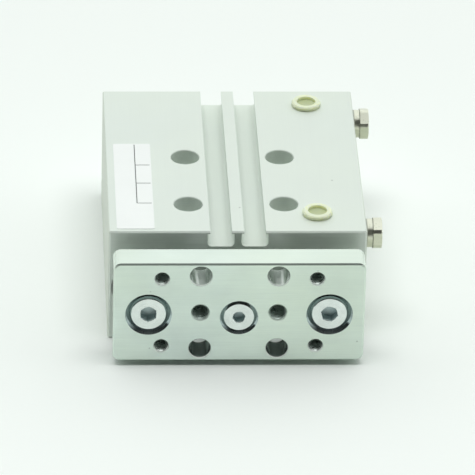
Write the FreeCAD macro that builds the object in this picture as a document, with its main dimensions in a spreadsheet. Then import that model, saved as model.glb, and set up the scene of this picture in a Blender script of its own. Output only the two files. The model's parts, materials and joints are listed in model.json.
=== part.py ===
import FreeCAD, Part
import math
import os
import re

import Sketcher

# Guided pneumatic cylinder with a 16 mm bore and a 40 mm stroke, drawn retracted.
# X runs across the housing, Y from the front plate to the rear, Z up. The origin is the middle of
# the housing's bottom face. Lengths are in millimetres and angles in degrees.

doc = FreeCAD.newDocument("guided_cylinder")
sheet = doc.addObject("Spreadsheet::Sheet", "sizes")
parts = []

SIZES = {
    # Motion and running fits
    "stroke": 40,  # travel of the front plate
    "end_gap": 0.3,  # room left at each end of the stroke
    "bush_clearance": 0.03,  # radial clearance between a rod and its bush or seal
    "piston_clearance": 0.08,  # radial clearance between piston and bore
    "seal_clearance": 0.03,  # radial clearance between the piston's rings and the bore
    "seat_clearance": 0.02,  # radial clearance of a piece that sits still in its bore
    "thread_clearance": 0.05,  # radial clearance between a screw and its plain threaded hole

    # Housing block
    "housing_width": 67,  # across the block
    "housing_height": 32,  # bottom face to top face
    "housing_corner_round": 0.5,  # radius of the four long edges
    "housing_end_bevel": 0.4,  # bevel round both end faces

    # Sensor slots in the top face
    "slot_opening": 5.6,  # width of a slot at the surface
    "slot_width": 7,  # width of a slot under its lips
    "slot_depth": 4.4,  # top face to slot floor
    "slot_lip": 0.6,  # thickness of the lips
    "slot_floor_round": 1.2,  # radius of the slot's lower corners
    "slot_ridge": 3.2,  # land between the two openings

    # Piston bore and its covers
    "bore_diameter": 16,  # piston bore
    "bore_height": 14.45,  # height of the bore's axis
    "cover_recess": 1.2,  # end face to retaining ring
    "ring_thickness": 1,  # retaining rings
    "ring_groove_depth": 0.5,  # radial depth of the ring grooves
    "ring_width": 1.4,  # radial width of a retaining ring
    "ring_gap": 4,  # opening of a retaining ring
    "ring_lug_diameter": 3.2,  # lugs for the ring pliers
    "ring_lug_hole": 1.1,  # holes in the lugs
    "cover_body": 6,  # length of the rod cover's full diameter
    "rod_cover_nose": 4.8,  # length of the rod cover's nose
    "head_body": 4.8,  # length of the head cover's full diameter
    "head_cover_nose": 3,  # length of the head cover's nose
    "nose_diameter": 13,  # noses that leave a ring of air round them
    "o_ring_cord": 1.2,  # section of the cover O-rings
    "o_ring_play": 0.4,  # groove width beyond the O-ring
    "o_ring_land": 0.5,  # cover shoulder behind the O-ring groove

    # Piston rod with its seal and bush
    "piston_rod_diameter": 8,  # piston rod
    "rod_passage": 0.25,  # radial room round the rod in its cover
    "seal_shoulder": 0.8,  # lip in front of the rod seal
    "rod_seal_width": 2.6,  # length of the rod seal's groove
    "rod_seal_diameter": 12.2,  # outer diameter of the rod seal
    "rod_bush_length": 6,  # rod bush
    "rod_bush_wall": 1,  # rod bush

    # Piston
    "piston_length": 11,  # without its bumpers
    "bumper_thickness": 0.7,  # elastic end stops
    "bumper_diameter": 12.4,  # elastic end stops
    "spigot_diameter": 5,  # threaded end of the rod that carries the piston
    "spigot_setback": 0.4,  # spigot end to piston face
    "nut_across_flats": 8,  # piston nut
    "nut_thickness": 2.7,  # piston nut
    "nut_recess_depth": 3.2,  # recess for the nut in the piston
    "nut_recess_diameter": 9.7,  # recess for the nut in the piston
    "piston_land": 1.4,  # lands in front of and behind the piston's rings
    "piston_seal_width": 2.2,  # groove of the piston seal
    "piston_seal_wall": 2,  # radial thickness of the piston seal
    "magnet_width": 2.4,  # groove of the magnet ring
    "magnet_wall": 2,  # radial thickness of the magnet ring
    "magnet_depth": 0.6,  # magnet ring below the bore wall
    "wear_ring_width": 1.8,  # groove of the wear ring
    "wear_ring_wall": 1,  # radial thickness of the wear ring
    "ring_end_play": 0.1,  # groove width beyond a piston ring
    "piston_o_ring_cord": 1,  # static seal on the spigot

    # Guide rods, bushes and wipers
    "guide_rod_diameter": 10,  # guide rods
    "guide_spacing": 46.8,  # between the guide rods' axes
    "guide_height": 15.4,  # height of the guide rods' axes
    "guide_rod_setback": 3,  # rod end to the housing's rear face
    "guide_rod_bevel": 0.8,  # bevel at the rods' rear ends
    "guide_bush_wall": 2,  # guide bushes
    "guide_bush_length": 10,  # guide bushes
    "guide_bore_depth": 32,  # front face to the shoulder behind the rear bushes
    "guide_passage": 0.5,  # radial room round the rods behind the bushes
    "felt_length": 3,  # oiled felt ring
    "wiper_diameter": 18.4,  # flange of the wiper
    "wiper_seat_depth": 2,  # flange depth in the housing
    "wiper_proud": 0.6,  # flange in front of the housing face
    "wiper_body_length": 2.5,  # wiper behind its flange
    "wiper_lip_width": 0.8,  # length of the wiping lip
    "wiper_relief": 0.6,  # radial relief beside the lip
    "wiper_bevel": 0.4,  # bevel of the flange

    # Mounting holes through the housing
    "mount_spacing_across": 25,  # hole pattern, across
    "mount_spacing_along": 25,  # hole pattern, along the stroke
    "mount_front_distance": 14.5,  # front face to the first pair
    "mount_hole_diameter": 4.3,  # through hole
    "mount_recess_diameter": 7.5,  # recess for a screw head
    "mount_recess_depth": 4.5,  # recess for a screw head
    "mouth_bevel": 0.2,  # broken edge at a hole's mouth
    "mount_thread_bevel": 0.5,  # lead-in of the threaded lower ends

    # Air ports, caps and plugs
    "port_offset": 21,  # top ports from the middle of the housing
    "port_margin": 0.2,  # drilling to the cover's shoulder
    "port_drop": 5.7,  # top face to the side ports' axes
    "port_thread_diameter": 5,  # ports
    "port_depth": 14.5,  # side ports
    "air_drilling_diameter": 1.6,  # slanted drillings into the bore
    "air_entry_offset": 5,  # where a drilling enters the bore, from the bore's axis
    "air_overrun": 1,  # drilling beyond the bore wall
    "cap_diameter": 7.8,  # flange of a port cap
    "cap_height": 1.2,  # flange of a port cap
    "cap_recess_diameter": 5,  # recess in a port cap
    "cap_recess_depth": 0.8,  # recess in a port cap
    "cap_rim_bevel": 0.35,  # outer rim of a port cap
    "cap_stem_length": 3.4,  # stem of a port cap
    "cap_stem_wall": 0.9,  # wall of the hollow stem
    "plug_across_flats": 7.8,  # hexagon of a side plug
    "plug_corner_diameter": 8.5,  # turned stock that the hexagon is cut from
    "plug_hexagon_thickness": 2.4,  # hexagon of a side plug
    "plug_collar_diameter": 7.5,  # collar of a side plug
    "plug_collar_thickness": 1.5,  # collar of a side plug
    "plug_bevel_angle": 30,  # bevel of the hexagon's corners
    "front_plug_turn": -4,  # how far the front plug stands turned
    "rear_plug_turn": 9,  # how far the rear plug stands turned
    "plug_thread_length": 4.5,  # thread of a side plug
    "gasket_thickness": 0.5,  # washer under a side plug

    # Sticker on the top face
    "label_width": 9.8,  # across the housing
    "label_length": 45,  # along the stroke
    "label_thickness": 0.1,  # sticker
    "label_offset": 26.5,  # sticker's middle to the left of the housing's middle
    "label_front_distance": 1.5,  # front face to the sticker
    "label_corner_round": 0.5,  # sticker

    # Front plate
    "plate_width": 65,  # across
    "plate_height": 29,  # up
    "plate_thickness": 8,  # along the stroke
    "plate_lift": 1.5,  # housing's bottom face to the plate's lower edge
    "plate_gap": 6,  # plate to housing face when retracted
    "plate_corner_round": 2,  # radius of the four corners
    "plate_bevel": 0.4,  # bevel round both faces
    "plate_tap_spacing_across": 40,  # outer threaded holes, across
    "plate_tap_spacing_up": 20,  # outer threaded holes, up
    "plate_tap_diameter": 3.3,  # outer threaded holes
    "plate_tap_bevel": 0.4,  # lead-in of the threaded holes
    "plate_pair_spacing": 20,  # threaded pair beside the middle screw
    "plate_pair_diameter": 4.2,  # threaded pair
    "plate_hole_spacing_across": 20,  # plain holes, across
    "plate_hole_spacing_up": 21.6,  # plain holes, up
    "plate_hole_diameter": 5.6,  # plain holes
    "rod_seat_depth": 1.5,  # seats of the three rods in the plate's rear face

    # Countersunk screws in the plate
    "screw_sink": 0.25,  # head below the plate's face
    "screw_edge": 0.15,  # broken edge of the head's disc
    "screw_rim": 0.3,  # taper of the head's rim
    "socket_bevel": 0.12,  # broken edge of a socket's mouth
    "screw_tip_bevel": 0.5,  # tip of a screw
    "hole_play": 0.3,  # radial room round a screw in the plate
    "tap_overrun": 2,  # threaded hole beyond the screw's tip
    "guide_screw_diameter": 6,  # screws of the guide rods
    "guide_screw_seat_diameter": 12.05,  # mouth of the countersink
    "guide_screw_disc": 9.2,  # flat of the head
    "guide_screw_length": 16,  # screws of the guide rods
    "guide_screw_socket": 4,  # hexagon socket, across flats
    "guide_socket_depth": 2.5,  # hexagon socket
    "left_socket_turn": 2,  # how far the left rod's socket stands turned
    "right_socket_turn": 45,  # how far the right rod's socket stands turned
    "rod_screw_diameter": 5,  # screw of the piston rod
    "rod_screw_seat_diameter": 9.95,  # mouth of the countersink
    "rod_screw_disc": 8,  # flat of the head
    "rod_screw_length": 14,  # screw of the piston rod
    "rod_screw_socket": 3,  # hexagon socket, across flats
    "rod_socket_depth": 2.2,  # hexagon socket
    "middle_socket_turn": 22,  # how far the middle socket stands turned
}

for row, (name, value) in enumerate(SIZES.items(), start=1):
    sheet.set(f"A{row}", name)
    sheet.set(f"B{row}", str(value))
    sheet.setAlias(f"B{row}", name)
doc.recompute()

# Places along the stroke, counted from the housing's front face
ROD_COVER_START = "(cover_recess + ring_thickness)"
CHAMBER_START = f"({ROD_COVER_START} + cover_body + rod_cover_nose)"
CHAMBER_LENGTH = "(stroke + piston_length + 2 * bumper_thickness + 2 * end_gap)"
CHAMBER_END = f"({CHAMBER_START} + {CHAMBER_LENGTH})"
HEAD_SHOULDER = f"({CHAMBER_END} + head_cover_nose)"
HEAD_COVER_END = f"({HEAD_SHOULDER} + head_body)"
HOUSING_LENGTH = f"({HEAD_COVER_END} + ring_thickness + cover_recess)"
PISTON_START = f"({CHAMBER_END} - end_gap - bumper_thickness - piston_length)"
FRONT_PORT = f"({ROD_COVER_START} + cover_body + air_drilling_diameter / 2 + port_margin)"
REAR_PORT = f"({HEAD_SHOULDER} - air_drilling_diameter / 2 - port_margin)"

# Places in the part's own frame
FRONT = f"(-{HOUSING_LENGTH} / 2)"
RIGHT = "(housing_width / 2)"
PLATE_FRONT = f"({FRONT} - plate_gap - plate_thickness)"
PLATE_MIDDLE = "(plate_lift + plate_height / 2)"
ROD_SEAT = f"({FRONT} - plate_gap - rod_seat_depth)"
SLOT_MIDDLE = "(slot_ridge / 2 + slot_opening / 2)"
PORT_HEIGHT = "(housing_height - port_drop)"

# Radii that several pieces share
BORE = "(bore_diameter / 2)"
RING_GROOVE = f"({BORE} + ring_groove_depth)"
PISTON_ROD = "(piston_rod_diameter / 2)"
ROD_BUSH_SEAT = f"({PISTON_ROD} + bush_clearance + rod_bush_wall)"
GUIDE_ROD = "(guide_rod_diameter / 2)"
GUIDE_BORE = f"({GUIDE_ROD} + bush_clearance + guide_bush_wall)"
SPIGOT = "(spigot_diameter / 2)"
PORT = "(port_thread_diameter / 2)"

SIDES = {"left": "-1", "right": "1"}
TURNING = {"x": ("XY_Plane", "H_Axis"), "y": ("XY_Plane", "V_Axis"), "z": ("XZ_Plane", "V_Axis")}


def bound(text):
    """Turn plain words for sizes into cells of the sheet."""
    def cell(word):
        return f"sizes.{word.group()}" if word.group() in SIZES else word.group()
    return re.sub(r"[a-z][a-z_]*", cell, str(text))


def tie(thing, prop, text):
    """Bind one property of an object to the sheet."""
    thing.setExpression(prop, bound(text))


def put(thing, place):
    """Place an object at three bound coordinates."""
    for letter, text in zip("xyz", place):
        tie(thing, f".Placement.Base.{letter}", text)


def origin_piece(body, role):
    return next(item for item in body.Origin.OriginFeatures if item.Role == role)


def new_body(label):
    body = doc.addObject("PartDesign::Body", label)
    body.Label = label
    return body


def sketch_at(body, name, plane, place=("0", "0", "0")):
    """Start a sketch on one of the body's planes, with its origin at a place in the body."""
    x, y, z = place
    offsets = {"XY_Plane": (x, y, z), "XZ_Plane": (x, z, f"-({y})"), "YZ_Plane": (y, z, x)}
    sketch = body.newObject("Sketcher::SketchObject", name)
    sketch.AttachmentSupport = [(origin_piece(body, plane), "")]
    sketch.MapMode = "FlatFace"
    for letter, text in zip("xyz", offsets[plane]):
        tie(sketch, f".AttachmentOffset.Base.{letter}", text)
    return sketch


def pin_point(sketch, piece, point, across, up):
    """Hold a point of a sketch at two bound distances from the sketch's origin."""
    for kind, text in (("DistanceX", across), ("DistanceY", up)):
        number = sketch.addConstraint(Sketcher.Constraint(kind, -1, 1, piece, point, 1.0))
        tie(sketch, f"Constraints[{number}]", text)


def outline(sketch, corners):
    """Draw a closed outline. It starts as a regular polygon and its bound corners pull it to size."""
    count = len(corners)
    turns = [2 * math.pi * corner / count for corner in range(count)]
    rough = [FreeCAD.Vector(math.cos(turn), math.sin(turn), 0) for turn in turns]
    lines = [sketch.addGeometry(Part.LineSegment(start, end))
             for start, end in zip(rough, rough[1:] + rough[:1])]
    for line, following in zip(lines, lines[1:] + lines[:1]):
        sketch.addConstraint(Sketcher.Constraint("Coincident", line, 2, following, 1))
    for line, (across, up) in zip(lines, corners):
        pin_point(sketch, line, 1, across, up)


def circle(sketch, across, up, radius):
    piece = sketch.addGeometry(Part.Circle(FreeCAD.Vector(), FreeCAD.Vector(0, 0, 1), 1))
    pin_point(sketch, piece, 3, across, up)
    number = sketch.addConstraint(Sketcher.Constraint("Radius", piece, 1.0))
    tie(sketch, f"Constraints[{number}]", radius)


def rectangle(left, right, low, high):
    return [(left, low), (right, low), (right, high), (left, high)]


def hexagon(across_flats):
    """Corners of a hexagon that stands on a corner."""
    flat = f"({across_flats} / 2)"
    corner = f"({across_flats} / sqrt(3))"
    low = f"({across_flats} / sqrt(12))"
    return [("0", f"-{corner}"), (flat, f"-{low}"), (flat, low), ("0", corner),
            (f"-{flat}", low), (f"-{flat}", f"-{low}")]


def pad(body, name, sketch, length, backwards=False):
    feature = body.newObject("PartDesign::Pad", name)
    feature.Profile = sketch
    feature.Reversed = backwards
    tie(feature, "Length", length)
    return feature


def pocket(body, name, sketch, length=None):
    """Cut a sketch into the body along its normal's far side, right through if no length is given."""
    feature = body.newObject("PartDesign::Pocket", name)
    feature.Profile = sketch
    if length is None:
        feature.Type = "ThroughAll"
    else:
        tie(feature, "Length", length)
    return feature


def turn_profile(body, kind, name, direction, profile, place=("0", "0", "0")):
    """Turn a profile of (distance along the axis, radius) points about an axis through a place."""
    plane, axis = TURNING[direction]
    sketch = sketch_at(body, f"{name}_profile", plane, place)
    swapped = axis == "V_Axis"
    outline(sketch, [(radius, along) if swapped else (along, radius) for along, radius in profile])
    feature = body.newObject(f"PartDesign::{kind}", name)
    feature.Profile = sketch
    feature.ReferenceAxis = (sketch, [axis])
    feature.Angle = 360
    return feature


def turned_body(label, direction, profile, place):
    """A body that is one turned profile."""
    body = new_body(label)
    turn_profile(body, "Revolution", f"{label}_turned", direction, profile)
    put(body, place)
    return body


def bored(body, name, direction, place, profile):
    """Cut a turned profile out of a body."""
    return turn_profile(body, "Groove", name, direction, profile, place)


def mirrored(body, name, features):
    """Repeat features on the other side of the middle plane."""
    feature = body.newObject("PartDesign::Mirrored", name)
    feature.Originals = features
    feature.MirrorPlane = (origin_piece(body, "YZ_Plane"), [""])
    body.Tip = feature
    return feature


def tube(start, end, inner, outer):
    """Profile of a plain ring."""
    return [(start, inner), (start, outer), (end, outer), (end, inner)]


def edges_along_y(feature, height=None):
    """Names of the straight edges parallel to Y, all of them or those at one height."""
    found = []
    for number, edge in enumerate(feature.Shape.Edges, start=1):
        box = edge.BoundBox
        straight = max(box.XLength, box.ZLength) < 1e-6
        if straight and (height is None or abs(box.ZMin - height) < 1e-4):
            found.append(f"Edge{number}")
    return found


def end_faces(feature):
    """Names of the two faces square to Y at the ends of a block."""
    box = feature.Shape.BoundBox
    return [f"Face{number}" for number, face in enumerate(feature.Shape.Faces, start=1)
            if face.BoundBox.YLength < 1e-6 and (abs(face.BoundBox.YMin - box.YMin) < 1e-6
                                                 or abs(face.BoundBox.YMax - box.YMax) < 1e-6)]


def dress(body, kind, name, base, edges, prop, text):
    """Add a fillet or chamfer to named edges or faces of the last feature."""
    feature = body.newObject(f"PartDesign::{kind}", name)
    feature.Base = (base, edges)
    tie(feature, prop, text)
    doc.recompute()
    return feature


def o_ring(label, middle, radius, section, place):
    """A round-section ring about an axis along Y."""
    ring = doc.addObject("Part::Torus", label)
    ring.Label = label
    tie(ring, "Radius1", radius)
    tie(ring, "Radius2", section)
    ring.Placement = FreeCAD.Placement(FreeCAD.Vector(), FreeCAD.Rotation(FreeCAD.Vector(1, 0, 0), 90))
    put(ring, (place[0], f"{place[1]} + {middle}", place[2]))
    return ring


def keep(*pieces):
    parts.extend(pieces)


def rounded_block(body, name, corners, length, place, corner_round, bevel):
    """A block along Y with rounded long edges and bevelled end faces."""
    sketch = sketch_at(body, f"{name}_outline", "XZ_Plane", place)
    outline(sketch, corners)
    block = pad(body, name, sketch, length, backwards=True)
    doc.recompute()
    rounded = dress(body, "Fillet", f"{name}_corners", block, edges_along_y(block),
                    "Radius", corner_round)
    return dress(body, "Chamfer", f"{name}_bevels", rounded, end_faces(rounded), "Size", bevel)


def sensor_slot(body):
    """T-shaped slot to the right of the middle, along the whole top face."""
    sketch = sketch_at(body, "slot_outline", "XZ_Plane", (SLOT_MIDDLE, FRONT, "housing_height"))
    half_opening, half_width = "slot_opening / 2", "slot_width / 2"
    outline(sketch, [
        (f"-{half_opening}", "slot_lip"), (half_opening, "slot_lip"),
        (half_opening, "-slot_lip"), (half_width, "-slot_lip"),
        (half_width, "-slot_depth"), (f"-{half_width}", "-slot_depth"),
        (f"-{half_width}", "-slot_lip"), (f"-{half_opening}", "-slot_lip"),
    ])
    return pocket(body, "sensor_slot", sketch)


def mounting_hole(body, name, along):
    """Recessed screw hole through the housing, with a threaded lower end."""
    radius, recess = "mount_hole_diameter / 2", "mount_recess_diameter / 2"
    floor = "housing_height - mount_recess_depth"
    return bored(body, name, "z", ("mount_spacing_across / 2", along, "0"), [
        ("0", "0"), ("0", f"{radius} + mount_thread_bevel"), ("mount_thread_bevel", radius),
        (floor, radius), (floor, recess), ("housing_height - mouth_bevel", recess),
        ("housing_height", f"{recess} + mouth_bevel"), ("housing_height", "0"),
    ])


def guide_bore(body):
    """Bore of the right guide: wiper seat, bush bore and the wider passage behind it."""
    passage = f"{GUIDE_ROD} + guide_passage"
    seat = "wiper_diameter / 2 + seat_clearance"
    return bored(body, "guide_bore", "y", ("guide_spacing / 2", FRONT, "guide_height"), [
        ("0", "0"), ("0", seat), ("wiper_seat_depth", seat), ("wiper_seat_depth", GUIDE_BORE),
        ("guide_bore_depth", GUIDE_BORE), ("guide_bore_depth", passage),
        (f"{HOUSING_LENGTH} - housing_end_bevel", passage),
        (HOUSING_LENGTH, f"{passage} + housing_end_bevel"), (HOUSING_LENGTH, "0"),
    ])


def piston_bore(body):
    """Bore right through, with a retaining-ring groove near each end."""
    groove_end = f"{ROD_COVER_START}"
    return bored(body, "piston_bore", "y", ("0", FRONT, "bore_height"), [
        ("0", "0"), ("0", f"{BORE} + housing_end_bevel"), ("housing_end_bevel", BORE),
        ("cover_recess", BORE), ("cover_recess", RING_GROOVE),
        (groove_end, RING_GROOVE), (groove_end, BORE),
        (HEAD_COVER_END, BORE), (HEAD_COVER_END, RING_GROOVE),
        (f"{HEAD_COVER_END} + ring_thickness", RING_GROOVE),
        (f"{HEAD_COVER_END} + ring_thickness", BORE),
        (f"{HOUSING_LENGTH} - housing_end_bevel", BORE),
        (HOUSING_LENGTH, f"{BORE} + housing_end_bevel"), (HOUSING_LENGTH, "0"),
    ])


def air_way(body, end, along):
    """Top port, side port and the slanted drilling that joins them to the bore."""
    bored(body, f"{end}_top_port", "z", ("port_offset", along, "0"), [
        (PORT_HEIGHT, "0"), (PORT_HEIGHT, PORT), ("housing_height - mouth_bevel", PORT),
        ("housing_height", f"{PORT} + mouth_bevel"), ("housing_height", "0"),
    ])
    bored(body, f"{end}_side_port", "x", (RIGHT, along, PORT_HEIGHT), [
        ("-port_depth", "0"), ("-port_depth", PORT), ("-mouth_bevel", PORT),
        ("0", f"{PORT} + mouth_bevel"), ("0", "0"),
    ])
    rise = f"sqrt({BORE} * {BORE} - air_entry_offset * air_entry_offset)"
    fall = f"({PORT_HEIGHT} - bore_height - {rise})"
    run = f"({RIGHT} - air_entry_offset)"
    drilling = body.newObject("PartDesign::SubtractiveCylinder", f"{end}_air_drilling")
    drilling.Placement.Rotation = FreeCAD.Rotation(FreeCAD.Vector(0, -1, 0), 90)
    tie(drilling, "Radius", "air_drilling_diameter / 2")
    tie(drilling, "Height", f"sqrt({run} * {run} + {fall} * {fall}) + air_overrun")
    put(drilling, (RIGHT, along, PORT_HEIGHT))
    tie(drilling, ".Placement.Rotation.Angle", f"90 deg + atan({fall} / {run})")


def housing():
    body = new_body("housing")
    rounded_block(body, "block", rectangle(f"-{RIGHT}", RIGHT, "0", "housing_height"),
                  HOUSING_LENGTH, ("0", FRONT, "0"), "housing_corner_round", "housing_end_bevel")
    front_pair = f"{FRONT} + mount_front_distance"
    both_sides = [
        sensor_slot(body),
        guide_bore(body),
        mounting_hole(body, "front_mounting_hole", front_pair),
        mounting_hole(body, "rear_mounting_hole", f"{front_pair} + mount_spacing_along"),
    ]
    doc.recompute()
    halves = mirrored(body, "other_side", both_sides)
    doc.recompute()
    floor_edges = edges_along_y(halves, sheet.housing_height - sheet.slot_depth)
    dress(body, "Fillet", "slot_floor_rounds", halves, floor_edges, "Radius", "slot_floor_round")
    piston_bore(body)
    air_way(body, "front", f"{FRONT} + {FRONT_PORT}")
    air_way(body, "rear", f"{FRONT} + {REAR_PORT}")
    keep(body)


def retaining_ring(label, along):
    """Open ring with two lugs, which springs into its groove."""
    body = new_body(label)
    outer = f"({RING_GROOVE} - seat_clearance)"
    inner = f"({outer} - ring_width)"
    ring = sketch_at(body, f"{label}_ring", "XZ_Plane")
    circle(ring, "0", "0", outer)
    circle(ring, "0", "0", inner)
    pad(body, f"{label}_hoop", ring, "ring_thickness", backwards=True)
    across = "(ring_gap / 2 + ring_lug_diameter / 2)"
    reach = f"({outer} - ring_lug_diameter / 2)"
    drop = f"-sqrt({reach} * {reach} - {across} * {across})"
    lugs = sketch_at(body, f"{label}_lug_outline", "XZ_Plane")
    for side in SIDES.values():
        circle(lugs, f"{side} * {across}", drop, "ring_lug_diameter / 2")
    pad(body, f"{label}_lugs", lugs, "ring_thickness", backwards=True)
    opening = sketch_at(body, f"{label}_opening", "XZ_Plane")
    outline(opening, rectangle("-ring_gap / 2", "ring_gap / 2", f"-{RING_GROOVE} - ring_width",
                               "-ring_width"))
    pocket(body, f"{label}_gap", opening)
    holes = sketch_at(body, f"{label}_lug_holes", "XZ_Plane")
    for side in SIDES.values():
        circle(holes, f"{side} * {across}", drop, "ring_lug_hole / 2")
    pocket(body, f"{label}_holes", holes)
    put(body, ("0", f"{FRONT} + {along}", "bore_height"))
    return body


def bore_front():
    """Rod cover with its bush, seal and O-ring, and the ring that holds it."""
    place = ("0", f"{FRONT} + {ROD_COVER_START}", "bore_height")
    outer = f"{BORE} - seat_clearance"
    length = "(cover_body + rod_cover_nose)"
    groove_end = "(cover_body - o_ring_land)"
    groove_start = f"({groove_end} - o_ring_cord - o_ring_play)"
    passage = f"{PISTON_ROD} + rod_passage"
    bush_start = f"({length} - rod_bush_length)"
    seal_end = "(seal_shoulder + rod_seal_width)"
    seal = "rod_seal_diameter / 2"
    keep(
        turned_body("rod_cover", "y", [
            ("0", passage), ("0", outer), (groove_start, outer),
            (groove_start, f"{BORE} - o_ring_cord"), (groove_end, f"{BORE} - o_ring_cord"),
            (groove_end, outer), ("cover_body", outer), ("cover_body", "nose_diameter / 2"),
            (length, "nose_diameter / 2"), (length, ROD_BUSH_SEAT), (bush_start, ROD_BUSH_SEAT),
            (bush_start, passage), (seal_end, passage), (seal_end, seal),
            ("seal_shoulder", seal), ("seal_shoulder", passage),
        ], place),
        turned_body("rod_bush", "y",
                    tube(bush_start, length, f"{PISTON_ROD} + bush_clearance",
                         f"{ROD_BUSH_SEAT} - seat_clearance"), place),
    )
    lip = f"{PISTON_ROD} + bush_clearance"
    middle = f"({PISTON_ROD} + rod_seal_diameter / 2) / 2"
    notch = "rod_seal_width / 4"
    rear = f"{seal_end} - ring_end_play"
    keep(
        turned_body("rod_seal", "y", [
            ("seal_shoulder", lip), ("seal_shoulder", seal), (rear, seal),
            (rear, f"{middle} + {notch}"), ("seal_shoulder + rod_seal_width / 2", middle),
            (rear, f"{middle} - {notch}"), (rear, lip),
        ], place),
        o_ring("rod_cover_o_ring", f"({groove_start} + {groove_end}) / 2",
               f"{BORE} - o_ring_cord / 2", "o_ring_cord / 2 - seat_clearance", place),
        retaining_ring("front_retaining_ring", "cover_recess"),
    )


def bore_rear():
    """Head cover with its O-ring, and the ring that holds it."""
    place = ("0", f"{FRONT} + {CHAMBER_END}", "bore_height")
    outer = f"{BORE} - seat_clearance"
    length = "(head_cover_nose + head_body)"
    groove_start = "(head_cover_nose + o_ring_land)"
    groove_end = f"({groove_start} + o_ring_cord + o_ring_play)"
    keep(
        turned_body("head_cover", "y", [
            ("0", "0"), ("0", "nose_diameter / 2"), ("head_cover_nose", "nose_diameter / 2"),
            ("head_cover_nose", outer), (groove_start, outer),
            (groove_start, f"{BORE} - o_ring_cord"), (groove_end, f"{BORE} - o_ring_cord"),
            (groove_end, outer), (length, outer), (length, "0"),
        ], place),
        o_ring("head_cover_o_ring", f"({groove_start} + {groove_end}) / 2",
               f"{BORE} - o_ring_cord / 2", "o_ring_cord / 2 - seat_clearance", place),
        retaining_ring("rear_retaining_ring", HEAD_COVER_END),
    )


def guide_lining(side, sign):
    """Wiper, felt and two bushes round one guide rod."""
    place = (f"{sign} * guide_spacing / 2", FRONT, "guide_height")
    running = f"{GUIDE_ROD} + bush_clearance"
    seated = f"{GUIDE_BORE} - seat_clearance"
    flange = "wiper_diameter / 2"
    wiper_end = "(wiper_seat_depth + wiper_body_length)"
    felt_end = f"({wiper_end} + felt_length)"
    relief = f"{running} + wiper_relief"
    keep(
        turned_body(f"{side}_guide_wiper", "y", [
            ("-wiper_proud", relief), ("-wiper_proud", f"{flange} - wiper_bevel"),
            ("-wiper_proud + wiper_bevel", flange), ("wiper_seat_depth", flange),
            ("wiper_seat_depth", seated), (wiper_end, seated), (wiper_end, relief),
            ("wiper_lip_width + wiper_relief", relief), ("wiper_lip_width", running), ("0", running),
        ], place),
        turned_body(f"{side}_grease_felt", "y",
                    tube(wiper_end, felt_end, running, seated), place),
        turned_body(f"{side}_front_guide_bush", "y",
                    tube(felt_end, f"{felt_end} + guide_bush_length", running, seated), place),
        turned_body(f"{side}_rear_guide_bush", "y",
                    tube("guide_bore_depth - guide_bush_length", "guide_bore_depth",
                         running, seated), place),
    )


def port_fittings(end, along):
    """Cap in the top port, and gasket and hexagon plug in the side port."""
    stem = f"{PORT} - thread_clearance"
    hollow = f"{stem} - cap_stem_wall"
    web = "(cap_height - cap_recess_depth)"
    keep(turned_body(f"{end}_port_cap", "z", [
        (web, "0"), (web, "cap_recess_diameter / 2"), ("cap_height", "cap_recess_diameter / 2"),
        ("cap_height", "cap_diameter / 2 - cap_rim_bevel"),
        ("cap_height - cap_rim_bevel", "cap_diameter / 2"), ("0", "cap_diameter / 2"),
        ("0", stem), ("-cap_stem_length", stem), ("-cap_stem_length", hollow), ("0", hollow),
        ("0", "0"),
    ], ("port_offset", along, "housing_height")))
    side = (RIGHT, along, PORT_HEIGHT)
    keep(turned_body(f"{end}_plug_gasket", "x",
                     tube("0", "gasket_thickness", PORT, "plug_collar_diameter / 2"), side))
    plug = turned_body(f"{end}_side_plug", "x", [
        ("-plug_thread_length", "0"), ("-plug_thread_length", f"{stem} - screw_tip_bevel"),
        ("-plug_thread_length + screw_tip_bevel", stem), ("gasket_thickness", stem),
        ("gasket_thickness", "plug_collar_diameter / 2"),
        ("gasket_thickness + plug_collar_thickness", "plug_collar_diameter / 2"),
        ("gasket_thickness + plug_collar_thickness", "0"),
    ], side)
    flats = sketch_at(plug, f"{end}_plug_flats", "YZ_Plane",
                      ("gasket_thickness + plug_collar_thickness", "0", "0"))
    outline(flats, hexagon("plug_across_flats"))
    pad(plug, f"{end}_plug_hexagon", flats, "plug_hexagon_thickness")
    shoulder = "(gasket_thickness + plug_collar_thickness)"
    tip = f"({shoulder} + plug_hexagon_thickness)"
    corner = "plug_corner_diameter / 2"
    bevel = f"({corner} - plug_across_flats / 2) * tan(plug_bevel_angle)"
    bored(plug, f"{end}_plug_round", "x", ("0", "0", "0"), [
        (tip, "plug_across_flats / 2"), (tip, "plug_across_flats"),
        (shoulder, "plug_across_flats"), (shoulder, corner), (f"{tip} - {bevel}", corner),
    ])
    plug.Placement.Rotation = FreeCAD.Rotation(FreeCAD.Vector(1, 0, 0), 1)
    tie(plug, ".Placement.Rotation.Angle", f"{end}_plug_turn")
    keep(plug)


def blank_label():
    body = new_body("blank_label")
    sketch = sketch_at(body, "label_outline", "XY_Plane")
    outline(sketch, rectangle("-label_width / 2", "label_width / 2", "0", "label_length"))
    sheet_of_paper = pad(body, "label_sheet", sketch, "label_thickness")
    doc.recompute()
    corners = [f"Edge{number}" for number, edge in enumerate(sheet_of_paper.Shape.Edges, start=1)
               if edge.BoundBox.ZLength > max(edge.BoundBox.XLength, edge.BoundBox.YLength)]
    dress(body, "Fillet", "label_corners", sheet_of_paper, corners, "Radius", "label_corner_round")
    put(body, ("-label_offset", f"{FRONT} + label_front_distance", "housing_height"))
    keep(body)


def screw_seat(seat, screw, rod):
    """Countersink, screw hole and rod seat through the plate, from its front face."""
    hole = f"({screw} / 2 + hole_play)"
    socket = f"({rod} / 2 + seat_clearance)"
    floor = "plate_thickness - rod_seat_depth"
    return [("0", "0"), ("0", f"{seat} / 2"), (f"{seat} / 2 - {hole}", hole), (floor, hole),
            (floor, socket), ("plate_thickness", socket), ("plate_thickness", "0")]


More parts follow.
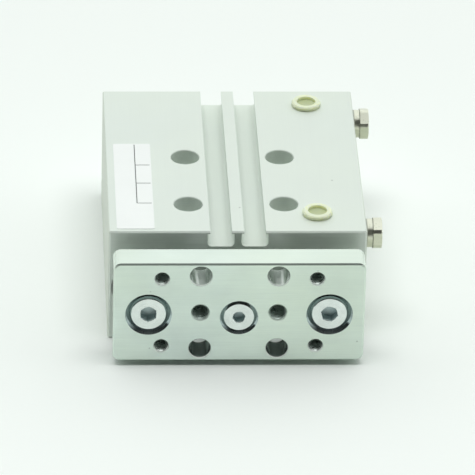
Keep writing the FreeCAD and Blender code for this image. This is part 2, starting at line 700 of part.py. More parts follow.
def bevelled_hole(diameter, bevel):
    """Plain hole through the plate with both edges broken."""
    radius = f"{diameter} / 2"
    return [("0", "0"), ("0", f"{radius} + {bevel}"), (bevel, radius),
            (f"plate_thickness - {bevel}", radius), ("plate_thickness", f"{radius} + {bevel}"),
            ("plate_thickness", "0")]


def front_plate():
    body = new_body("front_plate")
    rounded_block(body, "plate", rectangle("-plate_width / 2", "plate_width / 2",
                                           "-plate_height / 2", "plate_height / 2"),
                  "plate_thickness", ("0", "0", "0"), "plate_corner_round", "plate_bevel")
    tap = bevelled_hole("plate_tap_diameter", "plate_tap_bevel")
    plain = bevelled_hole("plate_hole_diameter", "mouth_bevel")
    right = [
        bored(body, "guide_screw_hole", "y",
              ("guide_spacing / 2", "0", f"guide_height - {PLATE_MIDDLE}"),
              screw_seat("guide_screw_seat_diameter", "guide_screw_diameter", "guide_rod_diameter")),
        bored(body, "paired_tap", "y", ("plate_pair_spacing / 2", "0", "0"),
              bevelled_hole("plate_pair_diameter", "plate_tap_bevel")),
    ]
    for row, sign in (("upper", "1"), ("lower", "-1")):
        right.append(bored(body, f"{row}_tap", "y", (
            "plate_tap_spacing_across / 2", "0", f"{sign} * plate_tap_spacing_up / 2"), tap))
        right.append(bored(body, f"{row}_plain_hole", "y", (
            "plate_hole_spacing_across / 2", "0", f"{sign} * plate_hole_spacing_up / 2"), plain))
    doc.recompute()
    mirrored(body, "left_holes", right)
    bored(body, "rod_screw_hole", "y", ("0", "0", f"bore_height - {PLATE_MIDDLE}"),
          screw_seat("rod_screw_seat_diameter", "rod_screw_diameter", "piston_rod_diameter"))
    put(body, ("0", PLATE_FRONT, PLATE_MIDDLE))
    keep(body)


def countersunk_screw(label, kind, socket_depth, turn, place):
    """Countersunk screw with a hexagon socket. Its axis starts at the plate's front face."""
    seat, disc, shank = f"{kind}_seat_diameter", f"{kind}_disc / 2", f"{kind}_diameter / 2"
    rim = f"({disc} + screw_rim)"
    tip = f"(screw_sink + {kind}_length)"
    body = new_body(label)
    turn_profile(body, "Revolution", f"{label}_turned", "y", [
        ("screw_sink", "0"), ("screw_sink", f"{disc} - screw_edge"),
        ("screw_sink + screw_edge", disc), (f"{seat} / 2 - {rim} - seat_clearance", rim),
        (f"{seat} / 2 - {shank} - seat_clearance", shank),
        (f"{tip} - screw_tip_bevel", shank), (tip, f"{shank} - screw_tip_bevel"), (tip, "0"),
    ])
    sketch = sketch_at(body, f"{label}_socket_outline", "XZ_Plane", ("0", "screw_sink", "0"))
    outline(sketch, hexagon(f"{kind}_socket"))
    pocket(body, f"{label}_socket", sketch, socket_depth)
    mouth = f"({kind}_socket / 2 + socket_bevel)"
    bored(body, f"{label}_socket_mouth", "y", ("0", "screw_sink", "0"), [
        ("0", "0"), ("0", f"{mouth}"), (mouth, "0"),
    ])
    body.Placement.Rotation = FreeCAD.Rotation(FreeCAD.Vector(0, 1, 0), 1)
    put(body, place)
    tie(body, ".Placement.Rotation.Angle", turn)
    return body


def guide_screws():
    """The two screws of the guide rods, as one group."""
    both = doc.addObject("Part::Compound", "guide_rod_screws")
    both.Label = "guide_rod_screws"
    both.Links = [
        countersunk_screw(f"{side}_guide_screw", "guide_screw", "guide_socket_depth",
                          f"{side}_socket_turn",
                          (f"{sign} * guide_spacing / 2", PLATE_FRONT, "guide_height"))
        for side, sign in SIDES.items()]
    keep(both)


def tapped_end(depth, screw):
    """Corners of a threaded hole in a rod's front end, from the rod's skin to its axis."""
    radius = f"({screw} / 2 + thread_clearance)"
    return [("0", radius), (depth, radius), (f"{depth} + {radius} / 2", "0")]


def guide_rod(side, sign):
    length = f"(rod_seat_depth + plate_gap + {HOUSING_LENGTH} - guide_rod_setback)"
    depth = "(guide_screw_length + screw_sink + tap_overrun - plate_thickness + rod_seat_depth)"
    keep(turned_body(f"{side}_guide_rod", "y", [
        *tapped_end(depth, "guide_screw_diameter"), (length, "0"),
        (length, f"{GUIDE_ROD} - guide_rod_bevel"), (f"{length} - guide_rod_bevel", GUIDE_ROD),
        ("0", GUIDE_ROD),
    ], (f"{sign} * guide_spacing / 2", ROD_SEAT, "guide_height")))


def piston_rod():
    shoulder = f"(rod_seat_depth + plate_gap + {PISTON_START})"
    end = f"({shoulder} + piston_length - spigot_setback)"
    depth = "(rod_screw_length + screw_sink + tap_overrun - plate_thickness + rod_seat_depth)"
    keep(turned_body("piston_rod", "y", [
        *tapped_end(depth, "rod_screw_diameter"), (end, "0"), (end, SPIGOT),
        (shoulder, SPIGOT), (shoulder, PISTON_ROD), ("0", PISTON_ROD),
    ], ("0", ROD_SEAT, "bore_height")))


def ring_groove(start, width, floor, skin):
    """Corners of a square groove in a turned skin."""
    return [(start, skin), (start, floor), (f"{start} + {width}", floor), (f"{start} + {width}", skin)]


def piston_group():
    """Piston with its rings, static seal, nut and bumpers."""
    place = ("0", f"{FRONT} + {PISTON_START}", "bore_height")
    skin = f"({BORE} - piston_clearance)"
    sliding = f"({BORE} - seal_clearance)"
    seal_floor = f"({sliding} - piston_seal_wall)"
    magnet_skin = f"({BORE} - magnet_depth)"
    magnet_floor = f"({magnet_skin} - magnet_wall)"
    wear_floor = f"({sliding} - wear_ring_wall)"
    wear_start = "(piston_length - piston_land - wear_ring_width)"
    free = "(piston_length - 2 * piston_land - piston_seal_width - magnet_width - wear_ring_width)"
    magnet_start = f"(piston_land + piston_seal_width + {free} / 2)"
    nut_start = "(piston_length - nut_recess_depth)"
    recess = "nut_recess_diameter / 2"
    hole = f"({SPIGOT} + seat_clearance)"
    gland = f"({SPIGOT} + piston_o_ring_cord)"
    keep(turned_body("piston", "y", [
        ("0", gland), ("0", skin),
        *ring_groove("piston_land", "piston_seal_width", seal_floor, skin),
        *ring_groove(magnet_start, "magnet_width", magnet_floor, skin),
        *ring_groove(wear_start, "wear_ring_width", wear_floor, skin),
        ("piston_length", skin), ("piston_length", recess), (nut_start, recess), (nut_start, hole),
        ("piston_o_ring_cord", hole), ("piston_o_ring_cord", gland),
    ], place))
    seal_end = "piston_land + piston_seal_width - ring_end_play"
    lip = "piston_seal_wall / 4"
    keep(
        turned_body("piston_seal", "y", [
            ("piston_land", seal_floor), ("piston_land", sliding),
            (f"piston_land + {lip}", sliding), (f"piston_land + 2 * {lip}", f"{sliding} - {lip}"),
            (f"{seal_end} - 2 * {lip}", f"{sliding} - {lip}"), (f"{seal_end} - {lip}", sliding),
            (seal_end, sliding), (seal_end, seal_floor),
        ], place),
        turned_body("magnet_ring", "y", tube(
            magnet_start, f"{magnet_start} + magnet_width - ring_end_play",
            magnet_floor, magnet_skin), place),
        turned_body("wear_ring", "y", tube(
            wear_start, f"{wear_start} + wear_ring_width - ring_end_play",
            wear_floor, sliding), place),
        o_ring("piston_o_ring", "piston_o_ring_cord / 2", f"{SPIGOT} + piston_o_ring_cord / 2",
               "piston_o_ring_cord / 2 - seat_clearance", place),
        turned_body("front_bumper", "y", tube(
            "-bumper_thickness", "0", f"{PISTON_ROD} + rod_passage", "bumper_diameter / 2"), place),
        turned_body("rear_bumper", "y", tube(
            "piston_length", "piston_length + bumper_thickness",
            f"{recess} + rod_passage", "bumper_diameter / 2"), place),
    )
    nut = new_body("piston_nut")
    sketch = sketch_at(nut, "nut_outline", "XZ_Plane", ("0", nut_start, "0"))
    outline(sketch, hexagon("nut_across_flats"))
    circle(sketch, "0", "0", f"{SPIGOT} + thread_clearance")
    pad(nut, "nut_hexagon", sketch, "nut_thickness", backwards=True)
    put(nut, place)
    keep(nut)


def whole_cylinder():
    housing()
    bore_front()
    bore_rear()
    for side, sign in SIDES.items():
        guide_lining(side, sign)
        guide_rod(side, sign)
    port_fittings("front", f"{FRONT} + {FRONT_PORT}")
    port_fittings("rear", f"{FRONT} + {REAR_PORT}")
    blank_label()
    front_plate()
    guide_screws()
    piston_rod()
    keep(countersunk_screw("piston_rod_screw", "rod_screw", "rod_socket_depth",
                           "middle_socket_turn", ("0", PLATE_FRONT, "bore_height")))
    piston_group()
    doc.recompute()


def check_and_write():
    """Stop if anything failed, then write one file for each sub-part."""
    for item in doc.Objects:
        if "Invalid" in item.State or "Error" in item.State:
            raise RuntimeError(f"{item.Name} failed: {item.State}")
    for piece in parts:
        if piece.Shape.isNull() or not piece.Shape.isValid() or not piece.Shape.Solids:
            raise RuntimeError(f"{piece.Label} has no valid solid")
    os.makedirs("parts", exist_ok=True)
    for piece in parts:
        piece.Shape.exportStep(f"parts/{piece.Label}.step")


whole_cylinder()
check_and_write()
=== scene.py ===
"""Guided pneumatic cylinder: finishes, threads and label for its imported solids, and a plain studio."""

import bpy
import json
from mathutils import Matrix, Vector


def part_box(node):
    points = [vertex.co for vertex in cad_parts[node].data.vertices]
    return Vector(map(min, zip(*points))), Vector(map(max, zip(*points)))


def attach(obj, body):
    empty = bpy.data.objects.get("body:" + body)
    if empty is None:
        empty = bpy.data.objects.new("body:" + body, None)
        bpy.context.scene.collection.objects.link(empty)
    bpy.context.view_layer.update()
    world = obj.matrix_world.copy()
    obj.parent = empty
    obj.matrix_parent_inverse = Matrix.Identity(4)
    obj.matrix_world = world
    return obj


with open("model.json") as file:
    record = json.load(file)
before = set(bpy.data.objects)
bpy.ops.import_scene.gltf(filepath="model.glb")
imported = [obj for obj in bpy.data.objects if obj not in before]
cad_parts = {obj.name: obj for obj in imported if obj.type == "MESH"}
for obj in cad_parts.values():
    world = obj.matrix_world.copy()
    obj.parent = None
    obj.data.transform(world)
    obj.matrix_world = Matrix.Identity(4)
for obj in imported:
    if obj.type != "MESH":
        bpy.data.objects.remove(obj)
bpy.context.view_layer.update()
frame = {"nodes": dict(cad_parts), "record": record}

import json
import math

import bpy
from mathutils import Matrix, Vector

bl_info = {
    "name": "Guided Cylinder Finish",
    "version": (1, 0, 0),
    "blender": (4, 5, 0),
    "location": "3D View > Sidebar > Cylinder",
    "description": "Dresses the solids of a guided pneumatic cylinder and sets up a plain studio",
    "category": "Object",
}

MM = 0.001
FIXED, MOVING = "housing_unit", "moving_unit"
MOUNTS = {mount["name"]: mount for mount in frame["record"]["mounts"]}
HOUSING_LOW, HOUSING_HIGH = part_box("housing")
PLATE_LOW, PLATE_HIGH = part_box("front_plate")

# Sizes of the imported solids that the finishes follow
PLATE_BEVEL = 0.4 * MM
PLUG_HEXAGON = 2.4 * MM

# How far the screw seats, sockets and cap recesses reach, which get painted shade and painted reflection
SEAT_REACH = 6.2 * MM
SOCKET_REACH = 2.5 * MM
CAP_RIM_DEPTH = 0.3 * MM

# Threads, and how deep a thread or ring is sunk in its wall
CORNER_PITCH, PAIR_PITCH, MOUNTING_PITCH = 0.7 * MM, 0.8 * MM, 0.8 * MM
LEAD_IN_LENGTH = 0.8 * MM
LEAD_IN_START, LEAD_IN_CREST = 0.16 * MM, 0.5 * MM
MOUNTING_THREAD_LENGTH = 10 * MM
THREAD_SUNK, RING_SUNK = 0.06 * MM, 0.04 * MM
FLANK_SHARE = 0.44
THREAD_STEPS, RING_STEPS = 28, 48

# Rules on the sticker, as shares of its width and length
LONG_RULE = 0.57
SHORT_RULES = (0.296, 0.53, 0.745)
RULE_LIFT = 0.02 * MM
RULE_END, RULE_SIDE = 0.5 * MM, 0.4 * MM

# Tones of small places, as shaders take them. Most are painted light and shade: dark reflections in the
# screw seats, shade in holes, grooves and round the screw heads, highlights in the upper plain holes, at
# hole mouths and on the plate's top
# Screw seats: painted dark reflection, darkest on the lower part of each cone, which faces up
SEAT_SIDE_PAINTED_REFLECTION, SEAT_LOW_PAINTED_REFLECTION = (0.34, 0.41, 0.43, 1), (0.12, 0.16, 0.18, 1)
# Walls of the tapped holes: painted shade
TAPPED_PAINTED_SHADE = (0.05, 0.06, 0.055, 1)
# Walls of the plain holes: painted highlight in the upper pair, painted shade in the lower pair
DRILLED_PAINTED_HIGHLIGHT, DRILLED_PAINTED_SHADE = (0.95, 1, 0.97, 1), (0.29, 0.34, 0.34, 1)
# The plate's top face: painted light. The bevel along its front top edge: painted dark reflection
PLATE_TOP_PAINTED_LIGHT, PLATE_EDGE_PAINTED_SHADE = (0.95, 1, 0.97, 1), (0.2, 0.23, 0.21, 1)
# Hole mouths: painted shade on the rim that faces down, painted highlight on the rim that faces up
MOUTH_PAINTED_SHADE, MOUTH_PAINTED_HIGHLIGHT = (0.18, 0.22, 0.2, 1), (0.93, 1, 0.95, 1)
# Screw heads' rims: painted shade, darkest where the rim faces down
HEAD_RIM_PAINTED_SHADE, HEAD_RIM_PAINTED_HALF_SHADE = (0.04, 0.05, 0.06, 1), (0.3, 0.36, 0.33, 1)
# Screw sockets: painted shade
SOCKET_PAINTED_SHADE = (0.56, 0.66, 0.66, 1)
# Plugs: painted shade on facets that face down, also the colour of the dents, and painted shade in the
# groove at the hexagon's shoulder
NICKEL_PAINTED_SHADE_AND_PITS, NICKEL_GROOVE_PAINTED_SHADE = (0.5, 0.52, 0.38, 1), (0.12, 0.12, 0.1, 1)

# The studio. The sector in front is open between two heights, given as sines of the elevation
FLOOR_HALF, FLOOR_DROP = 3.0, 0.02 * MM
LAMP_HEIGHT, LAMP_FORWARD = 1.22, -0.16
LAMP_WIDTH, LAMP_DEPTH = 1.0, 0.45
OPEN_FRONT, OPEN_SPREAD = (-0.13, -0.99, 0), (0.05, 0.35)
OPEN_TOP, OPEN_FOOT = (0.87, 0.92), (0.04, 0.06)
OPEN_LIGHT = 0.03
CAMERA_PIVOT = Vector((0, -8, 16)) * MM
CAMERA_SHIFT = (0.011057, -0.021418)


def middle(node):
    """Middle of a CAD node's box."""
    low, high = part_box(node)
    return (low + high) / 2


# Small steps that every node tree is made of


def wire(tree, value, socket):
    """Link a socket to another socket, or set it to a plain value."""
    if isinstance(value, bpy.types.NodeSocket):
        tree.links.new(value, socket)
    else:
        socket.default_value = value


def add_node(tree, kind, sockets=None, **settings):
    """Add a shader node, with its settings and the values or links of its sockets."""
    node = tree.nodes.new(f"ShaderNode{kind}")
    for name, value in settings.items():
        setattr(node, name, value)
    for key, value in (sockets or {}).items():
        wire(tree, value, node.inputs[key])
    return node


def maths(tree, operation, first, second=0.0, clamp=False):
    """Arithmetic on two numbers."""
    node = add_node(tree, "Math", {0: first, 1: second}, operation=operation, use_clamp=clamp)
    return node.outputs[0]


def vectors(tree, operation, first, second):
    """Vector arithmetic. A dot product or a length comes out as a number."""
    node = add_node(tree, "VectorMath", {0: first, 1: second}, operation=operation)
    return node.outputs["Value" if operation in ("DOT_PRODUCT", "LENGTH") else "Vector"]


def stretch(tree, value, low, high, to_low=0.0, to_high=1.0):
    """Bring the range low to high onto another range, held at its ends."""
    sockets = {"Value": value, "From Min": low, "From Max": high, "To Min": to_low, "To Max": to_high}
    return add_node(tree, "MapRange", sockets).outputs["Result"]


def blend_colours(tree, factor, first, second, share=1.0):
    """The first colour where the factor is 0, and the second, or a share of it, where it is 1."""
    if share < 1.0:
        factor = maths(tree, "MULTIPLY", factor, share)
    node = add_node(tree, "Mix", {0: factor, 6: first, 7: second}, data_type="RGBA")
    return node.outputs[2]


def noise(tree, vector, scale, detail=2.0):
    """Cloudy noise around 0.5, with its scale in cells per metre."""
    sockets = {"Vector": vector, "Scale": scale, "Detail": detail}
    return add_node(tree, "TexNoise", sockets).outputs["Fac"]


def object_place(tree):
    """Place in the piece's own frame, in metres."""
    return add_node(tree, "TexCoord").outputs["Object"]


def object_normal(tree):
    """Direction that the surface faces, in the piece's own frame."""
    return add_node(tree, "TexCoord").outputs["Normal"]


def axis_part(tree, vector, axis):
    """One coordinate of a vector."""
    return add_node(tree, "SeparateXYZ", {0: vector}).outputs[axis]


def bump(tree, height, distance, normal=None):
    """A normal that follows a height, over a depth in metres."""
    sockets = {"Height": height, "Distance": distance}
    if normal is not None:
        sockets["Normal"] = normal
    return add_node(tree, "Bump", sockets).outputs["Normal"]


def colour(shade, factor=1.0):
    """A colour with alpha, lightened or darkened."""
    return (*(min(1.0, part * factor) for part in shade[:3]), 1.0)


def yellowed(shade, factor):
    """A colour with alpha and less blue."""
    return (shade[0], shade[1], shade[2] * factor, 1.0)


# Effects that several materials share


def new_group(name, inputs, outputs):
    """Start a node group with named sockets. Gives the tree, its inputs and its outputs."""
    tree = bpy.data.node_groups.new(name, "ShaderNodeTree")
    for label, kind, value in inputs:
        socket = tree.interface.new_socket(label, in_out="INPUT", socket_type=f"NodeSocket{kind}")
        socket.default_value = value
    for label, kind in outputs:
        tree.interface.new_socket(label, in_out="OUTPUT", socket_type=f"NodeSocket{kind}")
    entry = tree.nodes.new("NodeGroupInput")
    result = tree.nodes.new("NodeGroupOutput")
    return tree, entry.outputs, result.inputs


def use_group(tree, name, **sockets):
    """Place a shared effect in a material. Underscores in a socket's name stand for spaces."""
    node = tree.nodes.new("ShaderNodeGroup")
    node.node_tree = bpy.data.node_groups[name]
    for label, value in sockets.items():
        wire(tree, value, node.inputs[label.replace("_", " ")])
    return node.outputs


def make_edge_wear():
    """Where a surface turns sharply: a broken-up mask, and a normal that rounds the edge."""
    tree, given, out = new_group(
        "edge_wear",
        [("Radius", "Float", 0.2 * MM), ("Breakup", "Float", 900.0), ("Amount", "Float", 1.0)],
        [("Mask", "Float"), ("Normal", "Vector")],
    )
    rounded = add_node(tree, "Bevel", {"Radius": given["Radius"]}, samples=6).outputs["Normal"]
    plain = add_node(tree, "NewGeometry").outputs["Normal"]
    turn = maths(tree, "SUBTRACT", 1.0, vectors(tree, "DOT_PRODUCT", rounded, plain))
    sharp = stretch(tree, turn, 0.01, 0.16)
    broken = stretch(tree, noise(tree, object_place(tree), given["Breakup"], 4.0), 0.38, 0.62)
    mask = maths(tree, "MULTIPLY", sharp, broken)
    wire(tree, maths(tree, "MULTIPLY", mask, given["Amount"]), out["Mask"])
    wire(tree, rounded, out["Normal"])


def make_long_grain():
    """Fine lines left by grinding, drawing or extrusion. Scales are lines per metre along each axis."""
    tree, given, out = new_group(
        "long_grain",
        [("Vector", "Vector", (0, 0, 0)), ("Scales", "Vector", (100, 100, 100))],
        [("Height", "Float"), ("Tone", "Float")],
    )
    fine = vectors(tree, "MULTIPLY", given["Vector"], given["Scales"])
    coarse = vectors(tree, "MULTIPLY", fine, (0.22, 0.22, 0.22))
    lines = noise(tree, fine, 1.0, 3.0)
    bands = noise(tree, coarse, 1.0, 2.0)
    both = maths(tree, "ADD", maths(tree, "MULTIPLY", lines, 0.65), maths(tree, "MULTIPLY", bands, 0.35))
    wire(tree, both, out["Height"])
    wire(tree, stretch(tree, both, 0.3, 0.7), out["Tone"])


def make_patchy_tone():
    """Slow change of tone over a surface, from 0 to 1."""
    tree, given, out = new_group(
        "patchy_tone",
        [("Vector", "Vector", (0, 0, 0)), ("Scale", "Float", 40.0)],
        [("Tone", "Float")],
    )
    wire(tree, stretch(tree, noise(tree, given["Vector"], given["Scale"], 5.0), 0.3, 0.7), out["Tone"])


def make_specks():
    """Small scattered marks. Share is the part of the cells that hold one."""
    tree, given, out = new_group(
        "specks",
        [("Vector", "Vector", (0, 0, 0)), ("Scale", "Float", 300.0), ("Share", "Float", 0.05),
         ("Size", "Float", 0.12)],
        [("Mask", "Float")],
    )
    cells = add_node(tree, "TexVoronoi", {"Vector": given["Vector"], "Scale": given["Scale"]})
    draw = add_node(tree, "SeparateColor", {"Color": cells.outputs["Color"]}).outputs["Red"]
    chosen = maths(tree, "LESS_THAN", draw, given["Share"])
    near = maths(tree, "DIVIDE", cells.outputs["Distance"], given["Size"])
    spot = stretch(tree, near, 0.5, 1.0, 1.0, 0.0)
    wire(tree, maths(tree, "MULTIPLY", chosen, spot), out["Mask"])


def make_turned_marks():
    """Fine rings about an axis, as a lathe leaves them, and the distance from that axis."""
    tree, given, out = new_group(
        "turned_marks",
        [("Vector", "Vector", (0, 0, 0)), ("Centre", "Vector", (0, 0, 0)),
         ("Across", "Vector", (1, 0, 1)), ("Pitch", "Float", 0.15 * MM)],
        [("Height", "Float"), ("Radius", "Float")],
    )
    offset = vectors(tree, "SUBTRACT", given["Vector"], given["Centre"])
    flat = vectors(tree, "MULTIPLY", offset, given["Across"])
    radius = vectors(tree, "LENGTH", flat, (0, 0, 0))
    rings = add_node(tree, "TexNoise", {"W": maths(tree, "DIVIDE", radius, given["Pitch"]),
                                        "Scale": 1.0, "Detail": 3.0}, noise_dimensions="1D")
    wire(tree, rings.outputs["Fac"], out["Height"])
    wire(tree, radius, out["Radius"])


def make_shared_effects():
    """Build the node groups that the materials use."""
    for make in (make_edge_wear, make_long_grain, make_patchy_tone, make_specks, make_turned_marks):
        make()


def new_material(name, **constants):
    """Start a material with one Principled shader. Constants go straight onto its sockets."""
    material = bpy.data.materials.new(name)
    material.use_nodes = True
    tree = material.node_tree
    shader = tree.nodes["Principled BSDF"]
    for label, value in constants.items():
        shader.inputs[label.replace("_", " ")].default_value = value
    return material, tree, shader.inputs


def finish_nodes(material, nodes):
    """Give CAD nodes a material."""
    for name in nodes:
        slots = frame["nodes"][name].data.materials
        slots.clear()
        slots.append(material)


def nodes_in_slot(slot):
    """Names of the CAD nodes in a material slot of the record."""
    names = [item["node"] for item in frame["record"]["subparts"] if item["material_slot"] == slot]
    if not names:
        raise ValueError(f"no node is in the slot {slot}")
    return names


def placed(name, data):
    """Put a mesh, lamp or camera in the scene as an object."""
    item = bpy.data.objects.new(name, data)
    bpy.context.scene.collection.objects.link(item)
    return item


# Metals


def clear_anodised_extrusion(looks):
    """Matte anodised aluminium: blasted grain, faint draw lines along Y, milled ends, side faces painted
    darker as shade and warmer.
    """
    material, tree, shader = new_material("clear_anodised_extrusion")
    place = object_place(tree)
    wear = use_group(tree, "edge_wear", Radius=0.2 * MM, Breakup=450.0, Amount=looks.wear)
    clouds = use_group(tree, "patchy_tone", Vector=place, Scale=38.0)["Tone"]
    draw = use_group(tree, "long_grain", Vector=place, Scales=(5200, 60, 5200))
    milled = use_group(tree, "long_grain", Vector=place, Scales=(60, 3000, 3000))
    marks = use_group(tree, "specks", Vector=place, Scale=160.0, Share=0.16, Size=0.06)["Mask"]
    facing = axis_part(tree, object_normal(tree), "Y")
    end_face = stretch(tree, maths(tree, "ABSOLUTE", facing), 0.85, 0.95)
    across = maths(tree, "ABSOLUTE", axis_part(tree, place, "X"))
    painted_side_shade = stretch(tree, across, HOUSING_HIGH.x - 0.3 * MM, HOUSING_HIGH.x - 0.1 * MM)
    slow = use_group(tree, "patchy_tone", Vector=place, Scale=17.0)["Tone"]
    warm = yellowed(looks.housing, 0.92)
    shade = blend_colours(tree, clouds, colour(looks.housing, 0.965), colour(looks.housing, 1.03))
    shade = blend_colours(tree, slow, shade, warm, 0.5)
    # The outer side faces are painted darker and warmer: painted shade, with a warmer tint
    shade = blend_colours(tree, painted_side_shade, shade, colour(warm, 0.8), 0.75)
    shade = blend_colours(tree, draw["Tone"], shade, colour(looks.housing, 0.9), 0.18)
    lines = maths(tree, "MULTIPLY", milled["Tone"], end_face)
    shade = blend_colours(tree, lines, shade, colour(looks.housing, 0.8), 0.4)
    shade = blend_colours(tree, marks, shade, colour(looks.housing, 0.45), 0.55)
    shade = blend_colours(tree, wear["Mask"], shade, colour(looks.housing, 1.2))
    wire(tree, shade, shader["Base Color"])
    rough = stretch(tree, clouds, 0.0, 1.0, 0.5, 0.6)
    rough = maths(tree, "SUBTRACT", rough, maths(tree, "MULTIPLY", end_face, 0.17))
    rough = maths(tree, "SUBTRACT", rough, maths(tree, "MULTIPLY", wear["Mask"], 0.3))
    wire(tree, rough, shader["Roughness"])
    wire(tree, stretch(tree, wear["Mask"], 0.0, 1.0, 0.35, 0.9), shader["Metallic"])
    blasted = noise(tree, place, 5200.0, 2.0)
    height = maths(tree, "ADD", blasted, maths(tree, "MULTIPLY", draw["Height"], 0.5))
    height = maths(tree, "ADD", height, maths(tree, "MULTIPLY", milled["Height"], end_face))
    wire(tree, bump(tree, height, 0.012 * MM, wear["Normal"]), shader["Normal"])
    return material


def ground_plated_steel(looks):
    """Ground and plated steel: fine lines along X, warm clouds, worn edges, dark seats and holes."""
    material, tree, shader = new_material("ground_plated_steel")
    place = object_place(tree)
    facing = axis_part(tree, object_normal(tree), "Y")
    upward = axis_part(tree, object_normal(tree), "Z")
    wear = use_group(tree, "edge_wear", Radius=0.12 * MM, Breakup=520.0, Amount=looks.wear)
    ground = use_group(tree, "long_grain", Vector=place, Scales=(110, 3600, 3600))
    bored = use_group(tree, "long_grain", Vector=place, Scales=(40, 2300, 40))
    wall = stretch(tree, maths(tree, "ABSOLUTE", facing), 0.2, 0.4, 1.0, 0.0)
    seat = screw_seat_mask(tree, place, facing)
    tapped, plain, mouth = plate_hole_masks(tree, place)
    shade = ground_face_tone(tree, place, looks, ground["Tone"], wear["Mask"])
    # The screw seats are painted dark, darkest where the cone faces up: a painted reflection of the dark
    # open front
    seat_painted_reflection = blend_colours(tree, stretch(tree, upward, 0.25, 0.6), SEAT_SIDE_PAINTED_REFLECTION, SEAT_LOW_PAINTED_REFLECTION)
    shade = blend_colours(tree, seat, shade, seat_painted_reflection, 0.85)
    # The tapped holes' walls are painted near-black: painted shade in the holes
    shade = blend_colours(tree, maths(tree, "MULTIPLY", tapped, wall), shade, TAPPED_PAINTED_SHADE)
    # The plain holes' walls get a painted highlight above the plate's middle and painted shade below it
    drilled_painted_light = drilled_wall_painted_light(tree, place)
    shade = blend_colours(tree, maths(tree, "MULTIPLY", plain, wall), shade, drilled_painted_light)
    # Faces of the plate that point up are painted lighter: painted light from above
    shade = blend_colours(tree, stretch(tree, upward, 0.4, 1.0, 0.0, 0.2), shade, PLATE_TOP_PAINTED_LIGHT)
    # The bevel along the plate's top front edge is painted dark: a painted reflection of the dark front
    shade = blend_colours(tree, painted_edge_shade_mask(tree, place, facing), shade, PLATE_EDGE_PAINTED_SHADE, 0.85)
    # Hole mouths: painted shade where the rim faces down, painted highlight where it faces up
    mouth_painted_light = blend_colours(tree, stretch(tree, upward, -0.3, 0.4), MOUTH_PAINTED_SHADE, MOUTH_PAINTED_HIGHLIGHT)
    wire(tree, blend_colours(tree, mouth, shade, mouth_painted_light), shader["Base Color"])
    solid = maths(tree, "MAXIMUM", seat, wall)
    matt = stretch(tree, upward, 0.4, 1.0, 0.0, 0.55)
    metal = maths(tree, "SUBTRACT", stretch(tree, solid, 0.0, 1.0, 0.8, 1.0), matt)
    wire(tree, maths(tree, "SUBTRACT", metal, mouth, clamp=True), shader["Metallic"])
    rough = stretch(tree, ground["Tone"], 0.0, 1.0, 0.3, 0.42)
    rough = stretch(tree, solid, 0.0, 1.0, rough, 0.13)
    wire(tree, stretch(tree, plain, 0.0, 1.0, rough, 0.16), shader["Roughness"])
    rings = maths(tree, "MULTIPLY", bored["Height"], stretch(tree, plain, 0.0, 1.0, 1.6, 9.0))
    height = maths(tree, "ADD", ground["Height"], maths(tree, "MULTIPLY", rings, wall))
    wire(tree, bump(tree, height, 0.01 * MM, wear["Normal"]), shader["Normal"])
    return material


def ground_face_tone(tree, place, looks, lines, worn):
    """Colour of the plate's ground faces: warm clouds, faint lines, small marks and worn edges."""
    clouds = use_group(tree, "patchy_tone", Vector=place, Scale=60.0)["Tone"]
    slow = use_group(tree, "patchy_tone", Vector=place, Scale=24.0)["Tone"]
    marks = use_group(tree, "specks", Vector=place, Scale=260.0, Share=0.34, Size=0.09)["Mask"]
    shade = blend_colours(tree, clouds, colour(looks.plate, 0.87), colour(looks.plate, 1.09))
    shade = blend_colours(tree, slow, shade, yellowed(looks.plate, 0.84), 0.6)
    shade = blend_colours(tree, lines, shade, colour(looks.plate, 0.8), 0.3)
    shade = blend_colours(tree, marks, shade, colour(looks.plate, 0.4), 0.6)
    return blend_colours(tree, worn, shade, colour(looks.plate, 1.18), 0.7)


def drilled_wall_painted_light(tree, place):
    """Colour of the plain holes' walls: a painted highlight in the plate's upper half, painted shade in
    the lower.
    """
    above = axis_part(tree, place, "Z")
    half_way = middle("front_plate").z
    low = stretch(tree, above, half_way - 1 * MM, half_way + 1 * MM, 1.0, 0.0)
    return blend_colours(tree, low, DRILLED_PAINTED_HIGHLIGHT, DRILLED_PAINTED_SHADE)


def screw_seat_mask(tree, place, facing):
    """Mask of the cones that the plate's screws sit in."""
    radius = turned_about_screws(tree, place, 0.12 * MM)[1]
    slanted = stretch(tree, maths(tree, "ABSOLUTE", facing), 0.9, 0.96, 1.0, 0.0)
    near = stretch(tree, radius, SEAT_REACH, SEAT_REACH + 0.1 * MM, 1.0, 0.0)
    return maths(tree, "MULTIPLY", slanted, near)


def painted_edge_shade_mask(tree, place, facing):
    """Mask of the bevel along the top of the plate's front face, which is painted dark as a painted
    reflection.
    """
    foot = PLATE_HIGH.z - PLATE_BEVEL
    forward = stretch(tree, facing, -0.5, -0.3, 1.0, 0.0)
    high = stretch(tree, axis_part(tree, place, "Z"), foot - 0.05 * MM, foot + 0.02 * MM)
    return maths(tree, "MULTIPLY", forward, high)


